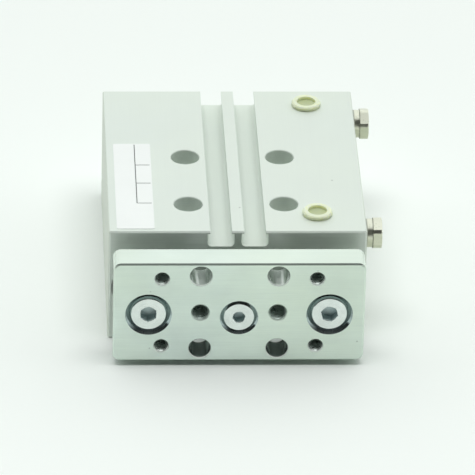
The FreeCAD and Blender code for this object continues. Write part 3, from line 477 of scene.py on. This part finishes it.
def plate_hole_masks(tree, place):
    """Masks of the plate's tapped holes, its plain holes, and the broken edges at their mouths.

    The mask of the broken edges, which carries painted shade and highlight, is weaker at the threaded
    pair.
    """
    centre = middle("front_plate")
    offset = vectors(tree, "ABSOLUTE", vectors(tree, "SUBTRACT", place, centre), (0, 0, 0))
    masks, mouths = [], []
    for mount_name in ("plate_corner_threads", "plate_paired_threads", "plate_plain_holes"):
        dims = MOUNTS[mount_name]["dims"]
        across, above = (dims.get(f"spacing_{axis}_mm", 0) * MM / 2 for axis in "xy")
        hole = use_group(tree, "turned_marks", Vector=offset, Centre=(across, 0, above))["Radius"]
        radius = dims["hole_r_mm"] * MM
        rim_radius = radius + PLATE_BEVEL
        masks.append(stretch(tree, hole, radius + 0.05 * MM, radius + 0.15 * MM, 1.0, 0.0))
        mouths.append(stretch(tree, hole, rim_radius - 0.05 * MM, rim_radius + 0.05 * MM, 1.0, 0.0))
    mouth = maths(tree, "MAXIMUM", maths(tree, "MULTIPLY", mouths[1], 0.3),
                  maths(tree, "MAXIMUM", mouths[0], mouths[2]))
    depth = axis_part(tree, offset, "Y")
    half = (PLATE_HIGH.y - PLATE_LOW.y) / 2
    near_face = stretch(tree, depth, half - PLATE_BEVEL, half - PLATE_BEVEL + 0.1 * MM)
    below_face = stretch(tree, depth, half - 0.02 * MM, half - 0.01 * MM, 1.0, 0.0)
    rim = maths(tree, "MULTIPLY", maths(tree, "MULTIPLY", mouth, near_face), below_face)
    return maths(tree, "MAXIMUM", masks[0], masks[1]), masks[2], rim


def turned_about_screws(tree, place, pitch):
    """Turned rings about the axis of the nearest of the three screws, and the distance from it."""
    folded = vectors(tree, "ABSOLUTE", place, (0, 0, 0))
    guide, rod = middle("right_guide_rod"), middle("piston_rod")
    outer = use_group(tree, "turned_marks", Vector=folded, Centre=guide, Pitch=pitch)
    inner = use_group(tree, "turned_marks", Vector=folded, Centre=rod, Pitch=pitch)
    across = axis_part(tree, folded, "X")
    outside = maths(tree, "GREATER_THAN", across, guide.x / 2)
    inside = maths(tree, "SUBTRACT", 1.0, outside)
    return [maths(tree, "ADD", maths(tree, "MULTIPLY", outer[name], outside),
                  maths(tree, "MULTIPLY", inner[name], inside)) for name in ("Height", "Radius")]


def plated_screw(looks):
    """Plated screw steel, with turned rings about the nearest screw axis, painted shade round the head's
    rim, darker where it faces down, and a socket painted darker as shade.
    """
    material, tree, shader = new_material("plated_screw")
    place = object_place(tree)
    wear = use_group(tree, "edge_wear", Radius=0.07 * MM, Breakup=1200.0, Amount=looks.wear)
    turned, radius = turned_about_screws(tree, place, 0.16 * MM)
    facing = axis_part(tree, object_normal(tree), "Y")
    depth = axis_part(tree, place, "Y")
    top = stretch(tree, maths(tree, "ABSOLUTE", facing), 0.9, 0.97)
    below = stretch(tree, depth, PLATE_LOW.y + 0.28 * MM, PLATE_LOW.y + 0.36 * MM)
    socket = stretch(tree, radius, SOCKET_REACH, SOCKET_REACH + 0.2 * MM, 1.0, 0.0)
    rim = maths(tree, "SUBTRACT", below, socket, clamp=True)
    clouds = use_group(tree, "patchy_tone", Vector=place, Scale=260.0)["Tone"]
    scratches = use_group(tree, "long_grain", Vector=place, Scales=(900, 900, 6000))
    shade = blend_colours(tree, clouds, colour(looks.screw, 0.84), colour(looks.screw, 1.04))
    shade = blend_colours(tree, scratches["Tone"], shade, colour(looks.screw, 0.75), 0.3)
    shade = blend_colours(tree, wear["Mask"], shade, colour(looks.screw, 1.15))
    upward = axis_part(tree, object_normal(tree), "Z")
    # The head's rim below the plate's face is painted dark, darkest where it faces down: painted shade
    rim_painted_shade = blend_colours(tree, stretch(tree, upward, -0.7, 0.1), HEAD_RIM_PAINTED_SHADE, HEAD_RIM_PAINTED_HALF_SHADE)
    shade = blend_colours(tree, rim, shade, rim_painted_shade, 0.9)
    # The socket is painted a darker grey: painted shade in the recess
    inside = maths(tree, "MULTIPLY", socket, below)
    shade = blend_colours(tree, inside, shade, SOCKET_PAINTED_SHADE)
    wire(tree, shade, shader["Base Color"])
    wire(tree, stretch(tree, inside, 0.0, 1.0, 1.0, 0.3), shader["Metallic"])
    brushed = stretch(tree, turned, 0.3, 0.7, 0.24, 0.36)
    dull = stretch(tree, inside, 0.0, 1.0, 0.12, 0.42)
    wire(tree, stretch(tree, top, 0.0, 1.0, dull, brushed), shader["Roughness"])
    wire(tree, bump(tree, turned, 0.012 * MM, wear["Normal"]), shader["Normal"])
    return material


def nickel_plate(looks):
    """Nickel-plated brass of the side plugs, a little warm, with small dents, painted shade on facets
    that face down or sideways, and painted shade in the groove at the hexagon.
    """
    material, tree, shader = new_material("nickel_plate", Metallic=1.0)
    place = object_place(tree)
    wear = use_group(tree, "edge_wear", Radius=0.2 * MM, Breakup=900.0, Amount=looks.wear)
    clouds = use_group(tree, "patchy_tone", Vector=place, Scale=220.0)["Tone"]
    turned = use_group(tree, "long_grain", Vector=place, Scales=(6500, 200, 200))
    shade = blend_colours(tree, clouds, colour(looks.nickel, 0.9), colour(looks.nickel, 1.06))
    upward = axis_part(tree, object_normal(tree), "Z")
    # Facets that face sideways and down are painted darker: painted shade
    shade = blend_colours(tree, stretch(tree, upward, 0.0, 0.4, 0.75, 0.0), shade, NICKEL_PAINTED_SHADE_AND_PITS)
    pits = use_group(tree, "specks", Vector=place, Scale=1600.0, Share=0.6, Size=0.45)["Mask"]
    # Small dents in the plating take the same dark colour
    shade = blend_colours(tree, pits, shade, NICKEL_PAINTED_SHADE_AND_PITS, 0.3)
    across = axis_part(tree, place, "X")
    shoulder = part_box("front_side_plug")[1].x - PLUG_HEXAGON
    gap = maths(tree, "ABSOLUTE", maths(tree, "SUBTRACT", across, shoulder))
    # A dark line in the groove at the hexagon's shoulder: painted shade
    groove_painted_shade = stretch(tree, gap, 0.06 * MM, 0.16 * MM, 0.75, 0.0)
    shade = blend_colours(tree, groove_painted_shade, shade, NICKEL_GROOVE_PAINTED_SHADE)
    shade = blend_colours(tree, wear["Mask"], shade, colour(looks.nickel, 1.15))
    wire(tree, shade, shader["Base Color"])
    wire(tree, stretch(tree, clouds, 0.0, 1.0, 0.26, 0.4), shader["Roughness"])
    height = maths(tree, "ADD", maths(tree, "MULTIPLY", turned["Height"], 0.4), clouds)
    wire(tree, bump(tree, height, 0.02 * MM, wear["Normal"]), shader["Normal"])
    return material


def plain_metal(name, shade, roughness, metallic=1.0, scales=(3000, 3000, 3000), depth=0.01):
    """A turned or drawn metal: two close tones and fine lines."""
    material, tree, shader = new_material(name, Metallic=metallic)
    place = object_place(tree)
    grain = use_group(tree, "long_grain", Vector=place, Scales=scales)
    clouds = use_group(tree, "patchy_tone", Vector=place, Scale=150.0)["Tone"]
    tone = blend_colours(tree, clouds, colour(shade, 0.92), colour(shade, 1.06))
    wire(tree, tone, shader["Base Color"])
    low, high = roughness
    wire(tree, stretch(tree, grain["Tone"], 0.0, 1.0, low, high), shader["Roughness"])
    wire(tree, bump(tree, grain["Height"], depth * MM), shader["Normal"])
    return material


# Plastics, rubber, felt and film


def moulded(name, shade, roughness, scale=900.0, depth=0.02, spread=0.06):
    """A moulded or pressed soft material: fine skin texture and a slight change of tone."""
    material, tree, shader = new_material(name)
    place = object_place(tree)
    skin = noise(tree, place, scale, 3.0)
    clouds = use_group(tree, "patchy_tone", Vector=place, Scale=scale / 6)["Tone"]
    tone = blend_colours(tree, clouds, colour(shade, 1 - spread), colour(shade, 1 + spread))
    wire(tree, tone, shader["Base Color"])
    low, high = roughness
    wire(tree, stretch(tree, skin, 0.3, 0.7, low, high), shader["Roughness"])
    wire(tree, bump(tree, skin, depth * MM), shader["Normal"])
    return material


def soft_cap_plastic(looks):
    """Natural polyethylene of the port caps: the recess floor and the foot of the outer wall are painted
    darker and deeper in colour than the thin rim, as painted shade.
    """
    material, tree, shader = new_material("soft_cap_plastic", Subsurface_Weight=0.6,
                                          Subsurface_Scale=3 * MM)
    shader["Subsurface Radius"].default_value = (1.0, 0.9, 0.5)
    place = object_place(tree)
    wear = use_group(tree, "edge_wear", Radius=0.3 * MM, Breakup=400.0, Amount=1.0)
    skin = noise(tree, place, 1400.0, 3.0)
    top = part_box("front_port_cap")[1].z
    height = axis_part(tree, place, "Z")
    upward = axis_part(tree, object_normal(tree), "Z")
    # The recess floor is painted darker: painted shade in the recess
    floor = maths(tree, "MULTIPLY", stretch(tree, upward, 0.7, 0.9),
                  stretch(tree, height, top - CAP_RIM_DEPTH, top - CAP_RIM_DEPTH / 2, 1.0, 0.0))
    tone = blend_colours(tree, floor, looks.cap, looks.cap_painted_shade)
    # The foot of the flange's outer wall is painted darker and more olive: painted shade
    lower = stretch(tree, height, HOUSING_HIGH.z, top - 0.2 * MM, 1.0, 0.0)
    tone = blend_colours(tree, lower, tone, colour(looks.cap_painted_shade, 1.45), 0.7)
    tone = blend_colours(tree, skin, tone, colour(looks.cap, 0.8), 0.2)
    wire(tree, tone, shader["Base Color"])
    wire(tree, stretch(tree, skin, 0.3, 0.7, 0.5, 0.65), shader["Roughness"])
    wire(tree, bump(tree, skin, 0.012 * MM, wear["Normal"]), shader["Normal"])
    return material


# Threads and label


def skinned(name, rings, closed, body, material):
    """A piece whose skin runs over a row of rings of points, with ends unless the row closes."""
    width, count = len(rings[0]), len(rings)
    faces = []
    for step in range(count if closed else count - 1):
        start, after = step * width, (step + 1) % count * width
        for corner in range(width):
            following = (corner + 1) % width
            faces.append((start + corner, start + following, after + following, after + corner))
    if not closed:
        faces.append(tuple(range(width)))
        faces.append(tuple((count - 1) * width + corner for corner in reversed(range(width))))
    mesh = bpy.data.meshes.new(name)
    mesh.from_pydata([point for ring in rings for point in ring], [], faces)
    mesh.materials.append(material)
    mesh.update()
    piece = placed(name, mesh)
    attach(piece, body)
    return piece


def turned_ring(name, mouth, axis, section, body, material):
    """A ring in a hole. Its section is a row of depths below the mouth and radii."""
    inward = -Vector(axis).normalized()
    side = inward.orthogonal().normalized()
    up = inward.cross(side)
    rings = []
    for step in range(RING_STEPS):
        angle = 2 * math.pi * step / RING_STEPS
        outwards = side * math.cos(angle) + up * math.sin(angle)
        rings.append([mouth + inward * depth + outwards * radius for depth, radius in section])
    return skinned(name, rings, True, body, material)


def thread_ridge(name, mouth, axis, radius, depth, pitch, length, body, material):
    """An internal thread: one helical ridge on the wall of a hole, running in from its mouth."""
    inward = -Vector(axis).normalized()
    side = inward.orthogonal().normalized()
    up = inward.cross(side)
    turns = length / pitch
    count = int(turns * THREAD_STEPS)
    section = [(-FLANK_SHARE, THREAD_SUNK), (0.0, -depth), (FLANK_SHARE, THREAD_SUNK)]
    rings = []
    for step in range(count + 1):
        turn = step / THREAD_STEPS
        angle = 2 * math.pi * turn
        ease = min(1.0, 2 * turn, 2 * (turns - turn))
        outwards = side * math.cos(angle) + up * math.sin(angle)
        rings.append([mouth + inward * (pitch * (turn + share))
                      + outwards * (radius + (lift if lift > 0 else lift * ease))
                      for share, lift in section])
    return skinned(name, rings, False, body, material)


def pattern_places(mount_name, across_axis, up_axis):
    """Places of a bolt pattern's holes, as the record states them. Axes are numbers from 0 to 2."""
    mount = MOUNTS[mount_name]
    wide = mount["dims"].get("spacing_x_mm", 0) * MM / 2
    tall = mount["dims"].get("spacing_y_mm", 0) * MM / 2
    middle_place = Vector(mount["pos_m"])
    places = []
    for right in (-1, 1):
        for above in (-1, 1) if tall else (0,):
            place = middle_place.copy()
            place[across_axis] += right * wide
            place[up_axis] += above * tall
            places.append(place)
    return places


def plate_threads(looks):
    """Lead-in rings and threads in the plate's tapped holes. The corner holes' rings get a brighter
    metal as a painted highlight.
    """
    dark = plain_metal("thread_steel", (0.62, 0.7, 0.66), (0.24, 0.34), metallic=0.8,
                       scales=(900, 900, 900))
    # A brighter copy of the thread metal for the corner holes' rings: painted highlight
    bright = plain_metal("thread_lead_in_painted_highlight", (0.93, 1, 0.95), (0.2, 0.3), scales=(900, 900, 900))
    length = PLATE_HIGH.y - PLATE_LOW.y - 2 * LEAD_IN_LENGTH
    threads = (("plate_corner_threads", CORNER_PITCH, bright),
               ("plate_paired_threads", PAIR_PITCH, dark))
    for mount_name, pitch, lead_in in threads:
        radius = MOUNTS[mount_name]["dims"]["hole_r_mm"] * MM
        section = [(LEAD_IN_START, radius + RING_SUNK),
                   (LEAD_IN_CREST, radius - 0.8 * looks.thread_depth),
                   (LEAD_IN_LENGTH, radius + RING_SUNK)]
        for number, place in enumerate(pattern_places(mount_name, 0, 2), start=1):
            name = f"{mount_name[:-1]}_{number}"
            place.y = PLATE_LOW.y
            turned_ring(f"{name}_lead_in", place, (0, -1, 0), section, MOVING, lead_in)
            start = place + Vector((0, LEAD_IN_LENGTH, 0))
            thread_ridge(name, start, (0, -1, 0), radius, looks.thread_depth, pitch, length,
                         MOVING, dark)


def mounting_threads(looks):
    """Threads in the lower ends of the housing's mounting holes."""
    metal = plain_metal("thread_aluminium", (0.62, 0.64, 0.62), (0.3, 0.45),
                        scales=(900, 900, 900))
    radius = MOUNTS["housing_bottom_threads"]["dims"]["hole_r_mm"] * MM
    for number, place in enumerate(pattern_places("housing_bottom_threads", 0, 1), start=1):
        place.z = HOUSING_LOW.z + LEAD_IN_LENGTH
        thread_ridge(f"mounting_thread_{number}", place, (0, 0, -1), radius, looks.thread_depth,
                     MOUNTING_PITCH, MOUNTING_THREAD_LENGTH, FIXED, metal)


def ruled_lines(looks, material):
    """Plain rules on the sticker: one long line and three short ones that part off its fields."""
    low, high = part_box("blank_label")
    half = looks.rule_width / 2
    length = high.y - low.y
    long_x = low.x + LONG_RULE * (high.x - low.x)
    strips = [(long_x - half, low.y + SHORT_RULES[0] * length, long_x + half, high.y - RULE_END)]
    for share in SHORT_RULES:
        across = low.y + share * length
        strips.append((long_x, across - half, high.x - RULE_SIDE, across + half))
    points, faces = [], []
    for left, near, right, far in strips:
        start = len(points)
        for level in (high.z, high.z + RULE_LIFT):
            points += [(left, near, level), (right, near, level),
                       (right, far, level), (left, far, level)]
        for corner in range(4):
            following = (corner + 1) % 4
            faces.append((start + corner, start + following,
                          start + following + 4, start + corner + 4))
        faces.append(tuple(start + 4 + corner for corner in range(4)))
        faces.append(tuple(start + corner for corner in reversed(range(4))))
    mesh = bpy.data.meshes.new("label_rules")
    mesh.from_pydata(points, [], faces)
    mesh.materials.append(material)
    rules = placed("label_rules", mesh)
    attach(rules, FIXED)
    return rules


class CylinderLooks(bpy.types.PropertyGroup):
    """Colours and small sizes of the cylinder's finishes"""

    housing: bpy.props.FloatVectorProperty(
        name="Housing", description="Colour of the anodised housing", subtype="COLOR", size=3,
        min=0, max=1, default=(0.776, 0.834, 0.792))
    plate: bpy.props.FloatVectorProperty(
        name="Plate", description="Colour of the plated front plate", subtype="COLOR", size=3,
        min=0, max=1, default=(0.742, 0.848, 0.8))
    screw: bpy.props.FloatVectorProperty(
        name="Screws", description="Colour of the plated screws", subtype="COLOR", size=3,
        min=0, max=1, default=(0.82, 0.88, 0.85))
    nickel: bpy.props.FloatVectorProperty(
        name="Plugs", description="Colour of the nickel-plated plugs", subtype="COLOR", size=3,
        min=0, max=1, default=(0.90, 0.90, 0.77))
    cap: bpy.props.FloatVectorProperty(
        name="Caps", description="Colour of the port caps' rims", subtype="COLOR", size=4,
        min=0, max=1, default=(0.80, 0.87, 0.62, 1))
    # Used as painted shade in the caps' recesses and at the foot of their outer walls
    cap_painted_shade: bpy.props.FloatVectorProperty(
        name="Cap recesses", description="Colour of the port caps' recesses", subtype="COLOR", size=4,
        min=0, max=1, default=(0.44, 0.49, 0.26, 1))
    wear: bpy.props.FloatProperty(
        name="Edge wear", description="How much the edges are worn bright", subtype="FACTOR",
        min=0, max=1, default=0.6)
    thread_depth: bpy.props.FloatProperty(
        name="Thread depth", description="How far a thread's ridge stands into its hole",
        unit="LENGTH", subtype="DISTANCE", min=0, max=0.001, precision=5, default=0.24 * MM)
    rule_width: bpy.props.FloatProperty(
        name="Rule width", description="Width of the sticker's printed lines",
        unit="LENGTH", subtype="DISTANCE", min=0, max=0.001, precision=5, default=0.22 * MM)


class CylinderStudio(bpy.types.PropertyGroup):
    """Light, floor and camera"""

    backdrop: bpy.props.FloatVectorProperty(
        name="Backdrop", description="Colour of the surround and its light", subtype="COLOR",
        size=4, min=0, max=1, default=(0.955, 1.0, 0.97, 1))
    floor: bpy.props.FloatVectorProperty(
        name="Floor", description="Colour of the floor", subtype="COLOR",
        size=4, min=0, max=1, default=(0.912, 0.944, 0.922, 1))
    surround: bpy.props.FloatProperty(
        name="Surround", description="Strength of the light from all around",
        min=0, max=5, default=0.985)
    key: bpy.props.FloatProperty(
        name="Key lamp", description="Power of the large lamp overhead", unit="POWER",
        min=0, max=200, default=6.7)
    distance: bpy.props.FloatProperty(
        name="Camera distance", description="From the camera to the point that it turns about",
        unit="LENGTH", subtype="DISTANCE", min=0.1, max=10, default=1.55593)
    elevation: bpy.props.FloatProperty(
        name="Camera elevation", description="Angle above the horizon", subtype="ANGLE",
        unit="ROTATION", min=0, max=math.radians(89), default=0.522948)
    heading: bpy.props.FloatProperty(
        name="Camera heading", description="Angle from looking along Y, towards X", subtype="ANGLE",
        unit="ROTATION", min=-math.pi, max=math.pi, default=0.053213)
    roll: bpy.props.FloatProperty(
        name="Camera roll", description="Turn about the line of sight", subtype="ANGLE",
        unit="ROTATION", min=-math.pi, max=math.pi, default=-0.025793)
    lens: bpy.props.FloatProperty(
        name="Lens", description="Focal length in millimetres for a 36 mm sensor", min=10, max=1000,
        default=445.696)


class CYLINDER_OT_housing(bpy.types.Operator):
    """Finish the housing"""

    bl_idname = "cylinder.housing"
    bl_label = "Housing"

    def execute(self, context):
        looks = context.scene.cylinder_looks
        finish_nodes(clear_anodised_extrusion(looks), nodes_in_slot("housing_aluminium"))
        return {"FINISHED"}


class CYLINDER_OT_front_plate(bpy.types.Operator):
    """Finish the front plate and add its threads"""

    bl_idname = "cylinder.front_plate"
    bl_label = "Front plate"

    def execute(self, context):
        looks = context.scene.cylinder_looks
        finish_nodes(ground_plated_steel(looks), nodes_in_slot("plate_steel"))
        plate_threads(looks)
        return {"FINISHED"}


class CYLINDER_OT_mounting_threads(bpy.types.Operator):
    """Add the threads in the lower ends of the housing's mounting holes"""

    bl_idname = "cylinder.mounting_threads"
    bl_label = "Mounting threads"

    def execute(self, context):
        mounting_threads(context.scene.cylinder_looks)
        return {"FINISHED"}


class CYLINDER_OT_screws(bpy.types.Operator):
    """Finish the countersunk screws and the piston nut"""

    bl_idname = "cylinder.screws"
    bl_label = "Screws"

    def execute(self, context):
        finish_nodes(plated_screw(context.scene.cylinder_looks), nodes_in_slot("screw_steel"))
        return {"FINISHED"}


class CYLINDER_OT_rods(bpy.types.Operator):
    """Finish the chromed rods"""

    bl_idname = "cylinder.rods"
    bl_label = "Rods"

    def execute(self, context):
        chrome = plain_metal("hard_chrome", (0.82, 0.84, 0.84), (0.06, 0.12),
                             scales=(300, 9000, 300), depth=0.002)
        finish_nodes(chrome, nodes_in_slot("chromed_rod"))
        return {"FINISHED"}


class CYLINDER_OT_port_fittings(bpy.types.Operator):
    """Finish the port caps, side plugs and gaskets"""

    bl_idname = "cylinder.port_fittings"
    bl_label = "Port fittings"

    def execute(self, context):
        looks = context.scene.cylinder_looks
        finish_nodes(soft_cap_plastic(looks), nodes_in_slot("cap_plastic"))
        finish_nodes(nickel_plate(looks), nodes_in_slot("nickel_brass"))
        gasket = moulded("fibre_gasket", (0.5, 0.52, 0.47), (0.6, 0.75))
        finish_nodes(gasket, nodes_in_slot("gasket_grey"))
        return {"FINISHED"}


class CYLINDER_OT_label(bpy.types.Operator):
    """Finish the sticker and rule its lines"""

    bl_idname = "cylinder.label"
    bl_label = "Label"

    def execute(self, context):
        film = moulded("label_film", (0.86, 0.885, 0.875), (0.3, 0.42), scale=600.0, depth=0.004,
                       spread=0.015)
        finish_nodes(film, nodes_in_slot("label_film"))
        ink = moulded("label_ink", (0.06, 0.07, 0.07), (0.4, 0.55), scale=2500.0, depth=0.004,
                      spread=0.3)
        ruled_lines(context.scene.cylinder_looks, ink)
        return {"FINISHED"}


class CYLINDER_OT_inner_parts(bpy.types.Operator):
    """Finish covers, rings, bushes, seals, wipers, felts and the piston's rings"""

    bl_idname = "cylinder.inner_parts"
    bl_label = "Inner parts"

    def execute(self, context):
        finishes = {
            "bare_aluminium": plain_metal("turned_aluminium", (0.72, 0.73, 0.72), (0.22, 0.36),
                                          scales=(200, 7000, 200)),
            "spring_steel": plain_metal("dark_spring_steel", (0.07, 0.07, 0.075), (0.35, 0.5), 0.8),
            "bush_bronze": plain_metal("sintered_bronze", (0.50, 0.34, 0.16), (0.4, 0.55),
                                       scales=(5000, 5000, 5000), depth=0.03),
            "black_rubber": moulded("nitrile_rubber", (0.018, 0.019, 0.019), (0.38, 0.55)),
            "felt": moulded("oiled_felt", (0.42, 0.38, 0.28), (0.85, 0.95), 3500.0, 0.15, 0.2),
            "magnet_compound": moulded("bonded_ferrite", (0.05, 0.05, 0.055), (0.5, 0.65)),
            "wear_plastic": moulded("filled_plastic", (0.16, 0.15, 0.13), (0.45, 0.6)),
            "bumper_urethane": moulded("urethane", (0.55, 0.28, 0.07), (0.3, 0.45)),
        }
        for slot, material in finishes.items():
            finish_nodes(material, nodes_in_slot(slot))
        return {"FINISHED"}


def studio_floor(studio):
    """Pale floor that keeps the object's shadow."""
    half = FLOOR_HALF
    level = HOUSING_LOW.z - FLOOR_DROP
    mesh = bpy.data.meshes.new("floor")
    mesh.from_pydata([(-half, -half, level), (half, -half, level), (half, half, level),
                      (-half, half, level)], [], [(0, 1, 2, 3)])
    material, tree, shader = new_material("floor_card", Roughness=0.9, Specular_IOR_Level=0.1)
    place = object_place(tree)
    fibres = noise(tree, place, 900.0, 2.0)
    shade = blend_colours(tree, fibres, colour(studio.floor, 0.985), studio.floor)
    wire(tree, shade, shader["Base Color"])
    mesh.materials.append(material)
    floor = placed("floor", mesh)


def studio_surround(studio):
    """Pale behind, beside, overhead and along the horizon, and dark in front, where it is open."""
    world = bpy.data.worlds.new("studio_surround")
    bpy.context.scene.world = world
    world.use_nodes = True
    tree = world.node_tree
    direction = add_node(tree, "TexCoord").outputs["Generated"]
    level = vectors(tree, "NORMALIZE", vectors(tree, "MULTIPLY", direction, (1, 1, 0)), (0, 0, 0))
    ahead = stretch(tree, vectors(tree, "DOT_PRODUCT", level, OPEN_FRONT), *OPEN_SPREAD)
    height = axis_part(tree, direction, "Z")
    dark = maths(tree, "MULTIPLY", ahead, stretch(tree, height, *OPEN_TOP, 1.0, 0.0))
    dark = maths(tree, "MULTIPLY", dark, stretch(tree, height, *OPEN_FOOT))
    strength = stretch(tree, dark, 0.0, 1.0, studio.surround, OPEN_LIGHT)
    background = tree.nodes["Background"]
    wire(tree, studio.backdrop, background.inputs["Color"])
    wire(tree, strength, background.inputs["Strength"])


def overhead_lamp(studio):
    """A large lamp that shines straight down, and that polished metal doesn't mirror."""
    lamp = bpy.data.lights.new("key_lamp", "AREA")
    lamp.shape = "RECTANGLE"
    lamp.size, lamp.size_y = LAMP_WIDTH, LAMP_DEPTH
    lamp.energy = studio.key
    item = placed("key_lamp", lamp)
    item.location = (0, LAMP_FORWARD, LAMP_HEIGHT)
    item.visible_glossy = False


def studio_camera(studio):
    """Camera at the photograph's distance, angle and lens."""
    heading, elevation, roll = studio.heading, studio.elevation, studio.roll
    forward = Vector((math.sin(heading) * math.cos(elevation),
                      math.cos(heading) * math.cos(elevation), -math.sin(elevation)))
    right = Vector((math.cos(heading), -math.sin(heading), 0))
    upward = right.cross(forward)
    turned_right = right * math.cos(roll) - upward * math.sin(roll)
    turned_up = right * math.sin(roll) + upward * math.cos(roll)
    data = bpy.data.cameras.new("camera")
    data.lens = studio.lens
    data.sensor_width = 36
    data.clip_start, data.clip_end = 0.05, 20
    data.shift_x, data.shift_y = CAMERA_SHIFT
    camera = placed("camera", data)
    turn = Matrix((turned_right, turned_up, -forward)).transposed()
    place = CAMERA_PIVOT - forward * studio.distance
    camera.matrix_world = Matrix.Translation(place) @ turn.to_4x4()
    bpy.context.scene.camera = camera


class CYLINDER_OT_studio(bpy.types.Operator):
    """Set up the floor, surround, lamp and camera"""

    bl_idname = "cylinder.studio"
    bl_label = "Studio"

    def execute(self, context):
        studio = context.scene.cylinder_studio
        context.scene.view_settings.view_transform = "Standard"
        studio_floor(studio)
        studio_surround(studio)
        overhead_lamp(studio)
        studio_camera(studio)
        return {"FINISHED"}


OPERATORS = (CYLINDER_OT_housing, CYLINDER_OT_front_plate, CYLINDER_OT_mounting_threads,
             CYLINDER_OT_screws, CYLINDER_OT_rods, CYLINDER_OT_port_fittings, CYLINDER_OT_label,
             CYLINDER_OT_inner_parts, CYLINDER_OT_studio)


class CYLINDER_PT_finish(bpy.types.Panel):
    """Buttons and settings for the cylinder's finish"""

    bl_idname = "CYLINDER_PT_finish"
    bl_label = "Guided Cylinder"
    bl_space_type = "VIEW_3D"
    bl_region_type = "UI"
    bl_category = "Cylinder"

    def draw(self, context):
        column = self.layout.column(align=True)
        for operator in OPERATORS:
            column.operator(operator.bl_idname)
        for settings in (context.scene.cylinder_looks, context.scene.cylinder_studio):
            box = self.layout.box()
            for name in type(settings).__annotations__:
                box.prop(settings, name)


CLASSES = (CylinderLooks, CylinderStudio, *OPERATORS, CYLINDER_PT_finish)


def register():
    for item in CLASSES:
        bpy.utils.register_class(item)
    bpy.types.Scene.cylinder_looks = bpy.props.PointerProperty(type=CylinderLooks)
    bpy.types.Scene.cylinder_studio = bpy.props.PointerProperty(type=CylinderStudio)


def unregister():
    del bpy.types.Scene.cylinder_studio
    del bpy.types.Scene.cylinder_looks
    for item in reversed(CLASSES):
        bpy.utils.unregister_class(item)


def main():
    """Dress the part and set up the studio."""
    register()
    make_shared_effects()
    for operator in OPERATORS:
        group, name = operator.bl_idname.split(".")
        getattr(getattr(bpy.ops, group), name)()


if __name__ == "__main__":
    main()
